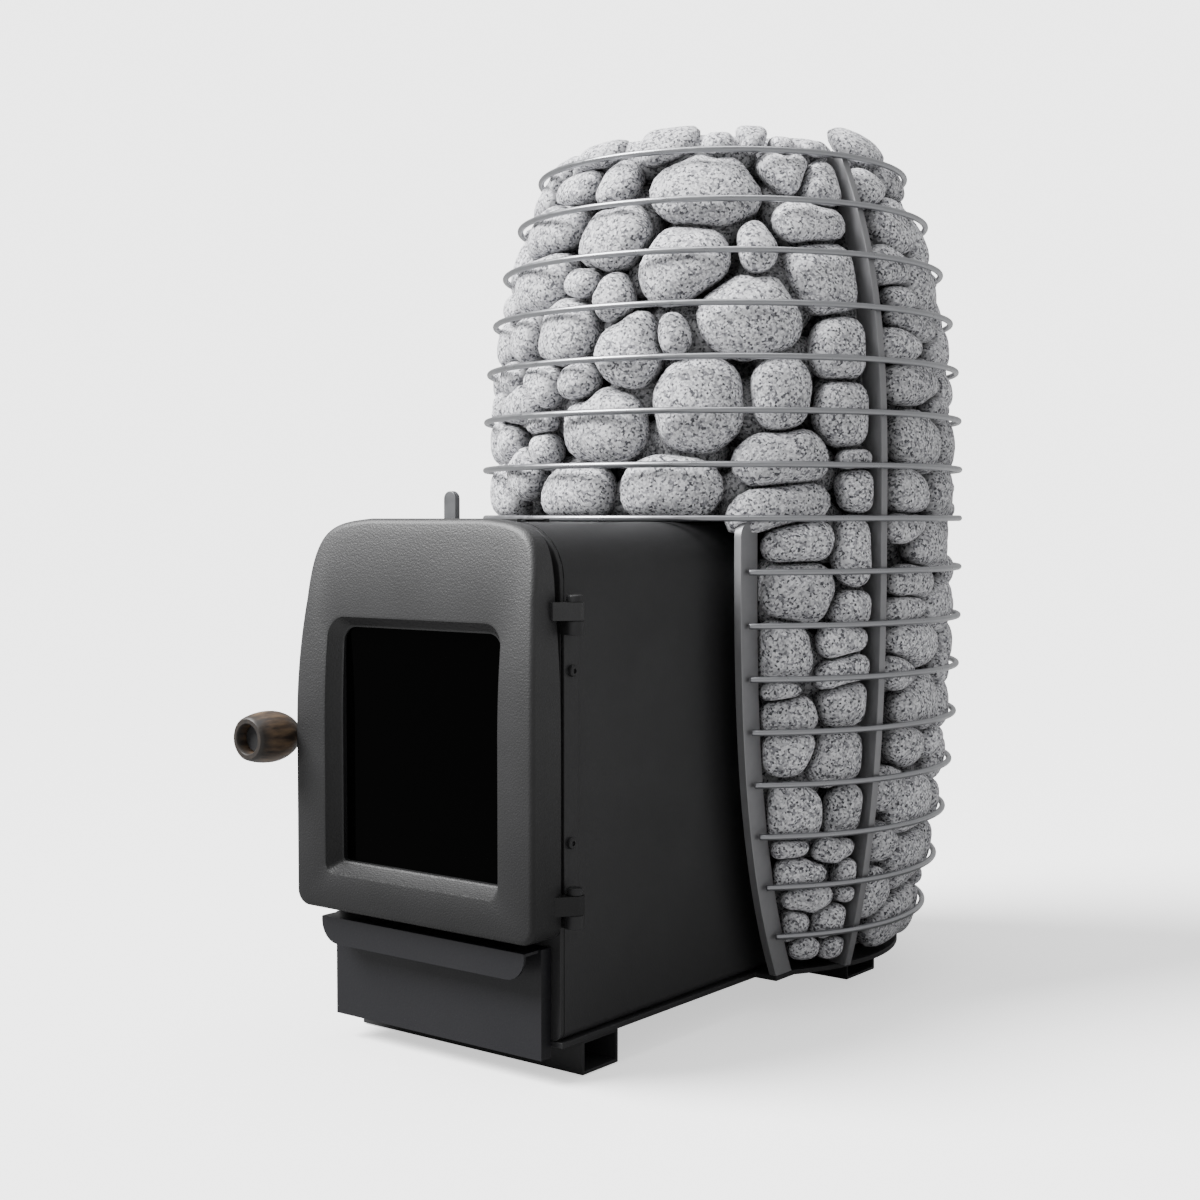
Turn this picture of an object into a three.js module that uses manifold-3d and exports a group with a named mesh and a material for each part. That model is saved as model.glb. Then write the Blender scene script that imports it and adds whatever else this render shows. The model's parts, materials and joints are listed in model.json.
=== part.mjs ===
// Wood-burning sauna stove: a barrel cage of steel rings filled with stones stands round a
// firebox that runs forward to a cast door, with an ash drawer below the door.
// Millimetres, +Z up, front towards -Y. Everything is laid out from the cage's upright axis,
// and the finished group is shifted so that its origin is under the middle of its box.
import * as THREE from 'three';
import { mergeVertices } from 'three/addons/utils/BufferGeometryUtils.js';
import Module from 'manifold-3d';

// Clearances, and how far a cutter or a joined root runs past a face
const GAP = 0.3;
const RUNNING = 0.5;
const OVERCUT = 1;

// Fineness of curves, and the sharpest bend of a sheet
const COARSE_CURVE = 2;
const CURVE = 3;
const FINE_CURVE = 4;
const BASE_CURVE = 18;
const HOLE_SIDES = 8;
const PIN_SIDES = 12;
const BOSS_SIDES = 14;
const EYE_SIDES = 16;
const HEX_SIDES = 6;
const TIGHTEST_BEND = 1;

// Cage of rings: round bar bent to a barrel
const RING_COUNT = 16;
const OPEN_RINGS = 8;
const RING_PITCH = 50;
const RING_ROD = 6;
const RING_SIDES = 5;
const RING_STEP = 12;
const LOWEST_RING = 75;
const BELLY_RADIUS = 252;
const TOP_RADIUS = 193;
const BOTTOM_RADIUS = 217;

// Upright ribs inside the rings, by bearing from the front
const SIDE_RIB = 73.5;
const REAR_RIB = 152;
const RIB_THICK = 8;
const RIB_DEPTH = 25;

// Front frame bars, where the open rings end
const BAR_INSET = 18;
const BAR_THICK = 8;
const BAR_WIDTH = 28;
const BAR_PROUD = 3;
const BAR_CORNER = 14;

// Base: a plate on two crossbars of open rectangular tube
const CROSSBAR_HEIGHT = 30;
const CROSSBAR_WALL = 3;
const FRONT_BAR_LENGTH = 264;
const FRONT_BAR_WIDTH = 50;
const FRONT_BAR_SETBACK = 30;
const REAR_BAR_LENGTH = 300;
const REAR_BAR_WIDTH = 57;
const REAR_BAR_Y = 41;
const BASE_PLATE = 5;
const BASE_LEDGE = 2;
const BASE_INSET = 17;

// Firebox
const FIREBOX_WIDTH = 264;
const FIREBOX_FRONT = 433;
const FIREBOX_BACK = 115;
const FIREBOX_WALL = 5;
const ROOF_BEND = 48;
const FLOOR_BEND = 8;
const HEARTH_HEIGHT = 118;
const HEARTH_PLATE = 5;
const GRATE_WIDTH = 220;
const GRATE_LENGTH = 320;
const GRATE_THICK = 12;
const GRATE_LAP = 12;
const GRATE_SLOTS = 8;
const GRATE_SLOT = 12;
const GRATE_Y = -150;
const BAFFLE_HEIGHT = 400;
const BAFFLE_PLATE = 6;
const BAFFLE_LENGTH = 260;
const FLUE_DIAMETER = 115;
const FLUE_WALL = 3;
const FLUE_SIDES = 20;
const FLUE_CLEAR = 1;
const FLUE_ABOVE_RING = 15;

// Openings of the front plate
const MOUTH_WIDTH = 190;
const MOUTH_BOTTOM = 145;
const MOUTH_TOP = 435;
const MOUTH_BEND = 45;

// Air slide on the roof
const SLIDE_LENGTH = 130;
const SLIDE_WIDTH = 32;
const SLIDE_PLATE = 1.5;
const SLIDE_TRAVEL = 20;
const SLIDE_Y = -411;
const TAB_WIDTH = 14;
const TAB_THICK = 6;
const TAB_HEIGHT = 27;
const RAIL_FOOT = 5;
const RAIL_LIP = 2.5;
const RAIL_PLATE = 1;
const AIR_HOLE = 16;
const AIR_HOLE_PITCH = 40;

// Ash drawer
const DRAWER_WIDTH = 244;
const DRAWER_BOTTOM = 21;
const DRAWER_TOP = 115;
const DRAWER_FACE = 13;
const DRAWER_SHEET = 2.5;
const LIP_WIDTH = 240;
const LIP_REACH = 20;
const LIP_DROP = 24;
const LIP_CORNER = 20;
const TRAY_WIDTH = 234;
const TRAY_LENGTH = 380;
const TRAY_HEIGHT = 64;
const TRAY_SHEET = 2;
const TRAY_SIDE_CLEAR = 1;
const TRAY_TOP_CLEAR = 2;

// Door casting
const DOOR_WIDTH = 280;
const DOOR_BOTTOM = 125;
const DOOR_HEIGHT = 350;
const DOOR_STRAIGHT = 165;
const DOOR_SHOULDER_WIDTH = 268;
const DOOR_SHOULDER = 280;
const DOOR_CROWN = 4;
const DOOR_CROWN_SHARE = 0.5;
const DOOR_TURN_IN = 2;
const DOOR_TURN_DROP = 9;
const DOOR_EASE_IN = 14;
const DOOR_CORNER = 14;
const DOOR_LEAST_CORNER = 3;
const DOOR_THICK = 37;
const DOOR_TOP_THICK = 15;
const DOOR_BOW = 185;
const DOOR_ROUND = 5;
const DOOR_STANDOFF = 9;
const DOOR_RIM = 14;
const DOOR_HOLLOW = 10;
const WINDOW_WIDTH = 188;
const WINDOW_BOTTOM = 167;
const WINDOW_TOP = 380;
const WINDOW_TOP_CORNER = 14;
const WINDOW_CORNER = 4;
const WINDOW_BEVEL = 8;
const WINDOW_BEVEL_DEPTH = 14;
const GLASS_THICK = 4;
const GLASS_LAP = 8;
const GLASS_CORNER = 14;
const RETAINER_SHEET = 3;
const GASKET_WIDTH = 10;

// Hinge on the right
const STRIP_THICK = 3;
const STRIP_WIDTH = 20;
const STRIP_SETBACK = 6;
const EYE_RADIUS = 8;
const EYE_SETBACK = 3;
const EYE_CLEAR = 1.7;
const EAR_INSET = 2;
const EAR_GASKET_CLEAR = 2;
const PIN_RADIUS = 4;
const PIN_HEAD_RADIUS = 7;
const PIN_HEAD = 6;
const LUG_HEIGHT = 12;
const UPPER_EAR = 391;
const UPPER_EAR_HEIGHT = 15;
const LOWER_EAR = 146;
const LOWER_EAR_HEIGHT = 16;

// Latch on the left
const LATCH_HEIGHT = 277;
const LATCH_BOSS = 19;
const LATCH_BOSS_RADIUS = 9;
const LATCH_BOSS_BLIND = 4;
const PIVOT_BEHIND_FACE = 9;
const LEVER_THICK = 8;
const LEVER_WIDTH = 12;
const LEVER_TAIL = 50;
const LEVER_NOSE = 8;
const KNOB_LENGTH = 55;
const KNOB_RADIUS = 23.5;
const KNOB_REAR_RADIUS = 11;
const KNOB_FRONT_RADIUS = 19;
const KNOB_SWELL = 0.97;
const KNOB_SWELL_AT = 0.25;
const KNOB_WIDEST_AT = 0.45;
const KNOB_RECESS_RADIUS = 13;
const KNOB_RECESS = 14;
const KNOB_BOLT_HEAD = 4;
const CATCH_PLATE = 4;
const CATCH_WIDTH = 26;
const CATCH_HEIGHT = 34;

// Stones
const LOWER_COURSES = 6;
const UPPER_COURSES = 5;
const STONE_WIDTH = 104;
const STONE_GAP = 1.2;
const STONE_FLUE_ROOM = 18;
const STONE_WAVE = 6;
const STONE_PILE_TOP = 858;
const STONE_SETBACK = 3;
const STONE_JOINT = 13;
const STONE_EDGE = 0.18;
const STONE_ROUND = 18;
const STONE_PINCH = 0.2;
const STONE_SHOULDER = 0.24;
const STONE_UNEVEN = 0.22;
const STONE_PHASE = 2.4;
const COURSE_PHASE = 1.7;
const BED_WAVES = 5;

// Levels and planes that the pieces share
const BELLY_HEIGHT = LOWEST_RING + OPEN_RINGS * RING_PITCH;
const TOP_RING = LOWEST_RING + (RING_COUNT - 1) * RING_PITCH;
const BASE_BOTTOM = CROSSBAR_HEIGHT + GAP;
const BASE_TOP = BASE_BOTTOM + BASE_PLATE;
const FLOOR = BASE_TOP + GAP;
const ROOF = BELLY_HEIGHT - RING_ROD / 2 - GAP;
const HALF_BOX = FIREBOX_WIDTH / 2;
const FRONT = -FIREBOX_FRONT;
const BACK = FIREBOX_BACK;
const PLATE_BACK = FRONT + FIREBOX_WALL;
const INNER_HALF = HALF_BOX - FIREBOX_WALL;
const INNER_FLOOR = FLOOR + FIREBOX_WALL;
const BAR_INNER = HALF_BOX + BAR_INSET;
const BAR_OUTER = BAR_INNER + BAR_THICK;
const HEARTH_TOP = HEARTH_HEIGHT + HEARTH_PLATE;
const DOOR_BACK = FRONT - DOOR_STANDOFF;
const DOOR_FACE = DOOR_BACK - DOOR_THICK;
const DOOR_TOP = DOOR_BOTTOM + DOOR_HEIGHT;
const HOLLOW_FACE = DOOR_BACK - DOOR_HOLLOW;
const GLASS_SEAT = HOLLOW_FACE - GLASS_THICK - RETAINER_SHEET - 3 * GAP;
const DRAWER_BACK = FRONT - GAP;
const DRAWER_FRONT = DRAWER_BACK - DRAWER_FACE;
const LIP_FRONT = DRAWER_FRONT - LIP_REACH;
const TRAY_BOTTOM = INNER_FLOOR + GAP;
const TRAY_OPENING_TOP = TRAY_BOTTOM + TRAY_HEIGHT + TRAY_TOP_CLEAR;
const HINGE_X = HALF_BOX + GAP + STRIP_THICK + EYE_CLEAR + EYE_RADIUS;
const HINGE_Y = FRONT + EYE_SETBACK;
const STRIP_INNER = HALF_BOX + GAP;
const STRIP_OUTER = STRIP_INNER + STRIP_THICK;
const LEVER_INNER = DOOR_WIDTH / 2 + LATCH_BOSS + GAP;
const LEVER_OUTER = LEVER_INNER + LEVER_THICK;
const LEVER_X = -(LEVER_INNER + LEVER_OUTER) / 2;
const PIVOT_Y = DOOR_BACK - PIVOT_BEHIND_FACE;
const LEVER_FRONT = PIVOT_Y - LATCH_BOSS_RADIUS;
const KNOB_REAR = LEVER_FRONT - GAP;
const KNOB_FRONT = KNOB_REAR - KNOB_LENGTH;
const CATCH_Z = LATCH_HEIGHT + LEVER_WIDTH / 2 + RUNNING + PIN_RADIUS;
const CATCH_Y = PIVOT_Y + LEVER_TAIL - LEVER_NOSE - PIN_RADIUS;
const FLUE_RADIUS = FLUE_DIAMETER / 2;
const REACH_FRONT = Math.min(KNOB_FRONT, LIP_FRONT, DOOR_FACE);
const ORIGIN_SHIFT = -(REACH_FRONT + BELLY_RADIUS) / 2;

// Finishes
function finish(color, roughness, metalness) {
  return new THREE.MeshStandardMaterial({ color, roughness, metalness });
}

const RING_STEEL = finish('#c9cbcd', 0.3, 1);
const RIB_STEEL = finish('#7a7b7d', 0.45, 1);
const GRANITE = finish('#b2b2b5', 0.85, 0);
const BLACK_SHEET = finish('#29292a', 0.6, 0.3);
const DRAWER_PAINT = finish('#3a3b40', 0.5, 0.3);
const CAST_IRON = finish('#454546', 0.7, 0.5);
const BARE_STEEL = finish('#8d8e90', 0.4, 1);
const DARK_GLASS = finish('#0b0b0c', 0.08, 0);
const ROPE = finish('#55534e', 0.95, 0);
const WOOD = finish('#4a3a2c', 0.55, 0);

const wasm = await Module();
wasm.setup();

// Closed mesh to solid, and back to a plain triangle geometry.
function solid(geometry) {
  const bare = geometry.clone();
  bare.deleteAttribute('normal');
  bare.deleteAttribute('uv');
  const merged = mergeVertices(bare, 1e-4);
  const triVerts = Uint32Array.from(merged.index.array);
  const vertProperties = merged.attributes.position.array;
  return new wasm.Manifold(new wasm.Mesh({ numProp: 3, vertProperties, triVerts }));
}

function geometryOf(body) {
  const { vertProperties, triVerts } = body.getMesh();
  const geometry = new THREE.BufferGeometry();
  geometry.setAttribute('position', new THREE.BufferAttribute(vertProperties, 3));
  geometry.setIndex(new THREE.BufferAttribute(triVerts, 1));
  return geometry;
}

function join(first, ...rest) {
  return geometryOf(rest.reduce((body, next) => body.add(solid(next)), solid(first)));
}

function cut(first, ...rest) {
  return geometryOf(rest.reduce((body, next) => body.subtract(solid(next)), solid(first)));
}

// Plain forms: a box between two corners, and an outline pushed along one axis.
function box(x0, x1, y0, y1, z0, z1) {
  const form = new THREE.BoxGeometry(x1 - x0, y1 - y0, z1 - z0);
  return form.translate((x0 + x1) / 2, (y0 + y1) / 2, (z0 + z1) / 2);
}

const straight = (depth, curveSegments = CURVE) => ({ depth, curveSegments, bevelEnabled: false });

// Outline drawn in x and z, pushed from y0 to y1.
function extrudeY(shape, y0, y1, curveSegments) {
  const form = new THREE.ExtrudeGeometry(shape, straight(y1 - y0, curveSegments));
  return form.rotateX(Math.PI / 2).translate(0, y1, 0);
}

// Outline drawn in x and y, pushed from z0 to z1.
function extrudeZ(shape, z0, z1, curveSegments) {
  return new THREE.ExtrudeGeometry(shape, straight(z1 - z0, curveSegments)).translate(0, 0, z0);
}

// Outline drawn in y and z, pushed from x0 to x1.
function extrudeX(shape, x0, x1, curveSegments) {
  const turn = new THREE.Matrix4().makeBasis(
    new THREE.Vector3(0, 1, 0),
    new THREE.Vector3(0, 0, 1),
    new THREE.Vector3(1, 0, 0),
  );
  const form = new THREE.ExtrudeGeometry(shape, straight(x1 - x0, curveSegments));
  return form.applyMatrix4(turn).translate(x0, 0, 0);
}

const outline = (points) => new THREE.Shape(points.map(([a, b]) => new THREE.Vector2(a, b)));

// Round bars along x or z, given by radius and end planes.
function barX(radius, x0, x1, y, z, sides = PIN_SIDES) {
  const form = new THREE.CylinderGeometry(radius, radius, x1 - x0, sides);
  return form.rotateZ(-Math.PI / 2).translate((x0 + x1) / 2, y, z);
}

function barZ(radius, z0, z1, x, y, sides = PIN_SIDES) {
  const form = new THREE.CylinderGeometry(radius, radius, z1 - z0, sides);
  return form.rotateX(Math.PI / 2).translate(x, y, (z0 + z1) / 2);
}

// Upright rectangle about x = 0 with its own radius at the top and at the bottom corners.
function uprightShape(width, bottom, top, topCorner, bottomCorner) {
  const half = width / 2;
  const shape = new THREE.Shape();
  shape.moveTo(-half + bottomCorner, bottom);
  shape.lineTo(half - bottomCorner, bottom);
  shape.absarc(half - bottomCorner, bottom + bottomCorner, bottomCorner, -Math.PI / 2, 0, false);
  shape.absarc(half - topCorner, top - topCorner, topCorner, 0, Math.PI / 2, false);
  shape.absarc(-half + topCorner, top - topCorner, topCorner, Math.PI / 2, Math.PI, false);
  shape.absarc(-half + bottomCorner, bottom + bottomCorner, bottomCorner, Math.PI, 1.5 * Math.PI, false);
  return shape;
}

const stove = new THREE.Group();

function place(name, geometry, material, parent = stove) {
  const mesh = new THREE.Mesh(geometry, material);
  mesh.name = name;
  parent.add(mesh);
  return mesh;
}

// Cage

// Outer radius of the rings at a height: a cubic fall-off above and below the belly.
function barrel(z) {
  const rise = (z - BELLY_HEIGHT) / (TOP_RING - BELLY_HEIGHT);
  const drop = (BELLY_HEIGHT - z) / (BELLY_HEIGHT - LOWEST_RING);
  if (z > BELLY_HEIGHT) return BELLY_RADIUS - (BELLY_RADIUS - TOP_RADIUS) * rise ** 3;
  return BELLY_RADIUS - (BELLY_RADIUS - BOTTOM_RADIUS) * drop ** 3;
}

const radians = THREE.MathUtils.degToRad;
const FULL_TURN = 360;
const RIB_BEARINGS = [SIDE_RIB, REAR_RIB, FULL_TURN - REAR_RIB, FULL_TURN - SIDE_RIB];

// Skin over sections set round the upright axis. A station is a bearing from the front and a
// section of [radius, height] points in anticlockwise order.
function aroundAxis(stations, closed) {
  const sides = stations[0].section.length;
  const position = stations.flatMap(({ bearing, section }) => section.flatMap(([radius, z]) => [
    radius * Math.sin(radians(bearing)),
    -radius * Math.cos(radians(bearing)),
    z,
  ]));
  const index = [];
  const spans = closed ? stations.length : stations.length - 1;
  for (let i = 0; i < spans; i += 1) {
    const here = i * sides;
    const next = ((i + 1) % stations.length) * sides;
    for (let j = 0; j < sides; j += 1) {
      const k = (j + 1) % sides;
      index.push(here + j, next + j, next + k, here + j, next + k, here + k);
    }
  }
  const last = (stations.length - 1) * sides;
  for (let j = 1; !closed && j < sides - 1; j += 1) {
    index.push(0, j, j + 1, last, last + j + 1, last + j);
  }
  const geometry = new THREE.BufferGeometry();
  geometry.setAttribute('position', new THREE.Float32BufferAttribute(position, 3));
  geometry.setIndex(index);
  return geometry;
}

// Bearings from one anchor to the next in equal steps, so that each anchor is one of them.
function bearingsThrough(anchors, step) {
  const bearings = [];
  for (let i = 0; i + 1 < anchors.length; i += 1) {
    const count = Math.ceil((anchors[i + 1] - anchors[i]) / step);
    for (let j = 0; j < count; j += 1) {
      bearings.push(anchors[i] + (j * (anchors[i + 1] - anchors[i])) / count);
    }
  }
  return [...bearings, anchors.at(-1)];
}

function ringGeometry(z, open) {
  const rod = RING_ROD / 2;
  const centre = barrel(z) - rod;
  const section = Array.from({ length: RING_SIDES }, (_, j) => {
    const turn = Math.PI + (2 * Math.PI * j) / RING_SIDES;
    return [centre + rod * Math.cos(turn), z + rod * Math.sin(turn)];
  });
  const start = THREE.MathUtils.radToDeg(Math.asin((BAR_OUTER + GAP) / (centre - rod)));
  const anchors = open
    ? [start, ...RIB_BEARINGS, FULL_TURN - start]
    : [...RIB_BEARINGS, FULL_TURN + SIDE_RIB];
  const bearings = bearingsThrough(anchors, RING_STEP);
  const used = open ? bearings : bearings.slice(0, -1);
  return aroundAxis(used.map((bearing) => ({ bearing, section })), !open);
}

for (let i = 0; i < RING_COUNT; i += 1) {
  const number = String(RING_COUNT - i).padStart(2, '0');
  place(`cage_ring_${number}`, ringGeometry(LOWEST_RING + i * RING_PITCH, i < OPEN_RINGS), RING_STEEL);
}

// Heights from one level to another, one for each ring and the two ends.
function cageHeights(low, high) {
  const levels = Array.from({ length: RING_COUNT }, (_, i) => LOWEST_RING + i * RING_PITCH);
  return [low, ...levels.filter((z) => z > low + RING_ROD && z < high - RING_ROD), high];
}

const RIB_SEAT = RING_ROD + GAP + (RIB_THICK / 2) * Math.tan(radians(RING_STEP / 2));
const RIB_JOINT = RIB_SEAT + RIB_DEPTH - RING_ROD;

function ribGeometry() {
  const heights = cageHeights(BASE_TOP + GAP, TOP_RING + RING_ROD / 2);
  const outer = heights.map((z) => [-(barrel(z) - RIB_SEAT), z]);
  const inner = heights.map((z) => [-(barrel(z) - RIB_SEAT - RIB_DEPTH), z]);
  return extrudeX(outline([...outer, ...inner.reverse()]), -RIB_THICK / 2, RIB_THICK / 2);
}

const RIB_NAMES = ['cage_rib_right', 'cage_rib_rear_right', 'cage_rib_rear_left', 'cage_rib_left'];
RIB_NAMES.forEach((name, i) => {
  place(name, ribGeometry(), RIB_STEEL).rotation.z = radians(RIB_BEARINGS[i]);
});

// A front bar stands beside the firebox and follows the barrel, with a round upper front corner.
const barFront = (z) => -Math.sqrt((barrel(z) + BAR_PROUD) ** 2 - BAR_OUTER ** 2);

function frontBarShape() {
  const top = ROOF;
  const heights = cageHeights(BASE_TOP + GAP, top - BAR_CORNER);
  const shape = new THREE.Shape();
  heights.forEach((z, i) => (i ? shape.lineTo(barFront(z), z) : shape.moveTo(barFront(z), z)));
  shape.quadraticCurveTo(barFront(top), top, barFront(top) + BAR_CORNER, top);
  shape.lineTo(barFront(top) + BAR_WIDTH, top);
  heights.reverse().forEach((z) => shape.lineTo(barFront(z) + BAR_WIDTH, z));
  return shape;
}

place('front_bar_right', extrudeX(frontBarShape(), BAR_INNER, BAR_OUTER), RIB_STEEL);
place('front_bar_left', extrudeX(frontBarShape(), -BAR_OUTER, -BAR_INNER), RIB_STEEL);

// Base

// The firebox stands on a tongue of the plate, and the front bars on square shoulders of its disc.
function basePlateShape() {
  const half = HALF_BOX + BASE_LEDGE;
  const radius = barrel(BASE_TOP) - BASE_INSET;
  const shoulder = barFront(BASE_TOP);
  const meet = Math.acos(Math.min(BAR_OUTER / radius, 1));
  const shape = new THREE.Shape();
  shape.moveTo(-half, FRONT);
  shape.lineTo(half, FRONT);
  shape.lineTo(half, shoulder);
  shape.lineTo(BAR_OUTER, shoulder);
  shape.absarc(0, 0, radius, -meet, Math.PI + meet, false);
  shape.lineTo(-BAR_OUTER, shoulder);
  shape.lineTo(-half, shoulder);
  return shape;
}

place('base_plate', extrudeZ(basePlateShape(), BASE_BOTTOM, BASE_TOP, BASE_CURVE), BLACK_SHEET);

function crossbar(length, y0, width) {
  const shape = outline([[y0, 0], [y0 + width, 0], [y0 + width, CROSSBAR_HEIGHT], [y0, CROSSBAR_HEIGHT]]);
  const w = CROSSBAR_WALL;
  shape.holes.push(outline([
    [y0 + w, w],
    [y0 + w, CROSSBAR_HEIGHT - w],
    [y0 + width - w, CROSSBAR_HEIGHT - w],
    [y0 + width - w, w],
  ]));
  return extrudeX(shape, -length / 2, length / 2);
}

const FRONT_BAR_EDGE = FRONT + FRONT_BAR_SETBACK;
const REAR_BAR_EDGE = REAR_BAR_Y - REAR_BAR_WIDTH / 2;
place('front_crossbar', crossbar(FRONT_BAR_LENGTH, FRONT_BAR_EDGE, FRONT_BAR_WIDTH), BLACK_SHEET);
place('rear_crossbar', crossbar(REAR_BAR_LENGTH, REAR_BAR_EDGE, REAR_BAR_WIDTH), BLACK_SHEET);

// Firebox

const boxShape = () => uprightShape(FIREBOX_WIDTH, FLOOR, ROOF, ROOF_BEND, FLOOR_BEND);
const wallBend = (bend) => Math.max(bend - FIREBOX_WALL, TIGHTEST_BEND);

function shellGeometry() {
  const shape = boxShape();
  const inside = uprightShape(
    2 * INNER_HALF,
    INNER_FLOOR,
    ROOF - FIREBOX_WALL,
    wallBend(ROOF_BEND),
    wallBend(FLOOR_BEND),
  );
  shape.holes.push(inside);
  const shell = extrudeY(shape, PLATE_BACK + GAP, BACK - FIREBOX_WALL - GAP);
  const through = [ROOF - FIREBOX_WALL - OVERCUT, ROOF + OVERCUT];
  const holes = [-1, 0, 1].map((i) => {
    return barZ(AIR_HOLE / 2, ...through, i * AIR_HOLE_PITCH, SLIDE_Y, HOLE_SIDES);
  });
  return cut(shell, barZ(FLUE_RADIUS + FLUE_CLEAR, ...through, 0, 0, FLUE_SIDES), ...holes);
}

function frontPlateGeometry() {
  const shape = boxShape();
  shape.holes.push(uprightShape(MOUTH_WIDTH, MOUTH_BOTTOM, MOUTH_TOP, MOUTH_BEND, FLOOR_BEND));
  const half = TRAY_WIDTH / 2 + TRAY_SIDE_CLEAR;
  shape.holes.push(outline([
    [-half, INNER_FLOOR],
    [-half, TRAY_OPENING_TOP],
    [half, TRAY_OPENING_TOP],
    [half, INNER_FLOOR],
  ]));
  return extrudeY(shape, FRONT, PLATE_BACK);
}

place('firebox_shell', shellGeometry(), BLACK_SHEET);
place('front_plate', frontPlateGeometry(), BLACK_SHEET);
place('back_plate', extrudeY(boxShape(), BACK - FIREBOX_WALL, BACK), BLACK_SHEET);

// The hearth plate carries the grate over an opening, and the baffle turns the smoke forward.
function hearthGeometry() {
  const side = INNER_HALF - GAP;
  const rear = BACK - FIREBOX_WALL - GAP;
  const plate = box(-side, side, PLATE_BACK + GAP, rear, HEARTH_HEIGHT, HEARTH_TOP);
  const half = GRATE_WIDTH / 2 - GRATE_LAP;
  const reach = GRATE_LENGTH / 2 - GRATE_LAP;
  const through = [HEARTH_HEIGHT - OVERCUT, HEARTH_TOP + OVERCUT];
  return cut(plate, box(-half, half, GRATE_Y - reach, GRATE_Y + reach, ...through));
}

function grateGeometry() {
  const half = GRATE_WIDTH / 2;
  const reach = GRATE_LENGTH / 2;
  const shape = outline([[-half, -reach], [half, -reach], [half, reach], [-half, reach]]);
  const pitch = (GRATE_WIDTH - 2 * GRATE_LAP) / GRATE_SLOTS;
  for (let i = 0; i < GRATE_SLOTS; i += 1) {
    const x = (i - (GRATE_SLOTS - 1) / 2) * pitch;
    const slot = new THREE.Path();
    const end = reach - 2 * GRATE_LAP;
    slot.absarc(x, end, GRATE_SLOT / 2, 0, Math.PI, false);
    slot.absarc(x, -end, GRATE_SLOT / 2, Math.PI, 2 * Math.PI, false);
    shape.holes.push(slot);
  }
  const seat = HEARTH_TOP + GAP;
  return extrudeZ(shape, seat, seat + GRATE_THICK, COARSE_CURVE).translate(0, GRATE_Y, 0);
}

// Half width inside the shell at a height, less where its wall bends in to the roof.
function insideHalf(z) {
  const bend = wallBend(ROOF_BEND);
  const above = z - (ROOF - FIREBOX_WALL - bend);
  if (above <= 0) return INNER_HALF;
  return INNER_HALF - bend + Math.sqrt(Math.max(bend ** 2 - above ** 2, 0)) - RUNNING;
}

function baffleGeometry() {
  const side = insideHalf(BAFFLE_HEIGHT + BAFFLE_PLATE) - GAP;
  const rear = BACK - FIREBOX_WALL - GAP;
  return box(-side, side, rear - BAFFLE_LENGTH, rear, BAFFLE_HEIGHT, BAFFLE_HEIGHT + BAFFLE_PLATE);
}

function flueGeometry() {
  const inner = FLUE_RADIUS - FLUE_WALL;
  const low = ROOF - FIREBOX_WALL;
  const high = TOP_RING + FLUE_ABOVE_RING;
  const profile = [[inner, low], [FLUE_RADIUS, low], [FLUE_RADIUS, high], [inner, high], [inner, low]];
  return new THREE.LatheGeometry(outline(profile).getPoints(), FLUE_SIDES).rotateX(Math.PI / 2);
}

place('hearth_plate', hearthGeometry(), BLACK_SHEET);
place('fire_grate', grateGeometry(), CAST_IRON);
place('baffle_plate', baffleGeometry(), BLACK_SHEET);
place('flue_pipe', flueGeometry(), BLACK_SHEET);

// Air slide: a plate with three holes and a tab, held down by a rail along each long edge.

const SLIDE_BOTTOM = ROOF + GAP;
const SLIDE_TOP = SLIDE_BOTTOM + SLIDE_PLATE;

function slideGeometry() {
  const half = SLIDE_LENGTH / 2;
  const edge = SLIDE_WIDTH / 2;
  const plate = box(-half, half, SLIDE_Y - edge, SLIDE_Y + edge, SLIDE_BOTTOM, SLIDE_TOP);
  const root = SLIDE_TOP - OVERCUT;
  const tab = uprightShape(TAB_WIDTH, root, SLIDE_BOTTOM + TAB_HEIGHT, TAB_WIDTH / 2, TIGHTEST_BEND);
  const tabFront = SLIDE_Y - edge + RAIL_LIP + RUNNING;
  const shape = join(plate, extrudeY(tab, tabFront, tabFront + TAB_THICK, FINE_CURVE));
  const through = [SLIDE_BOTTOM - OVERCUT, SLIDE_TOP + OVERCUT];
  const holes = [-1, 1].map((i) => {
    return barZ(AIR_HOLE / 2, ...through, i * AIR_HOLE_PITCH, SLIDE_Y, HOLE_SIDES);
  });
  return cut(shape, ...holes);
}

function railGeometry(side) {
  const edge = SLIDE_WIDTH / 2;
  const foot = edge + GAP;
  const shape = outline([
    [side * foot, SLIDE_BOTTOM],
    [side * (foot + RAIL_FOOT), SLIDE_BOTTOM],
    [side * (foot + RAIL_FOOT), SLIDE_TOP + GAP + RAIL_PLATE],
    [side * (edge - RAIL_LIP), SLIDE_TOP + GAP + RAIL_PLATE],
    [side * (edge - RAIL_LIP), SLIDE_TOP + GAP],
    [side * foot, SLIDE_TOP + GAP],
  ]);
  const half = SLIDE_LENGTH / 2 + SLIDE_TRAVEL;
  return extrudeX(shape, -half, half).translate(0, SLIDE_Y, 0);
}

place('air_slide', slideGeometry(), BARE_STEEL);
place('air_slide_rail_front', railGeometry(-1), BLACK_SHEET);
place('air_slide_rail_rear', railGeometry(1), BLACK_SHEET);

// Ash drawer: an open tray behind a folded front whose top edge turns over into a pull lip.

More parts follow.
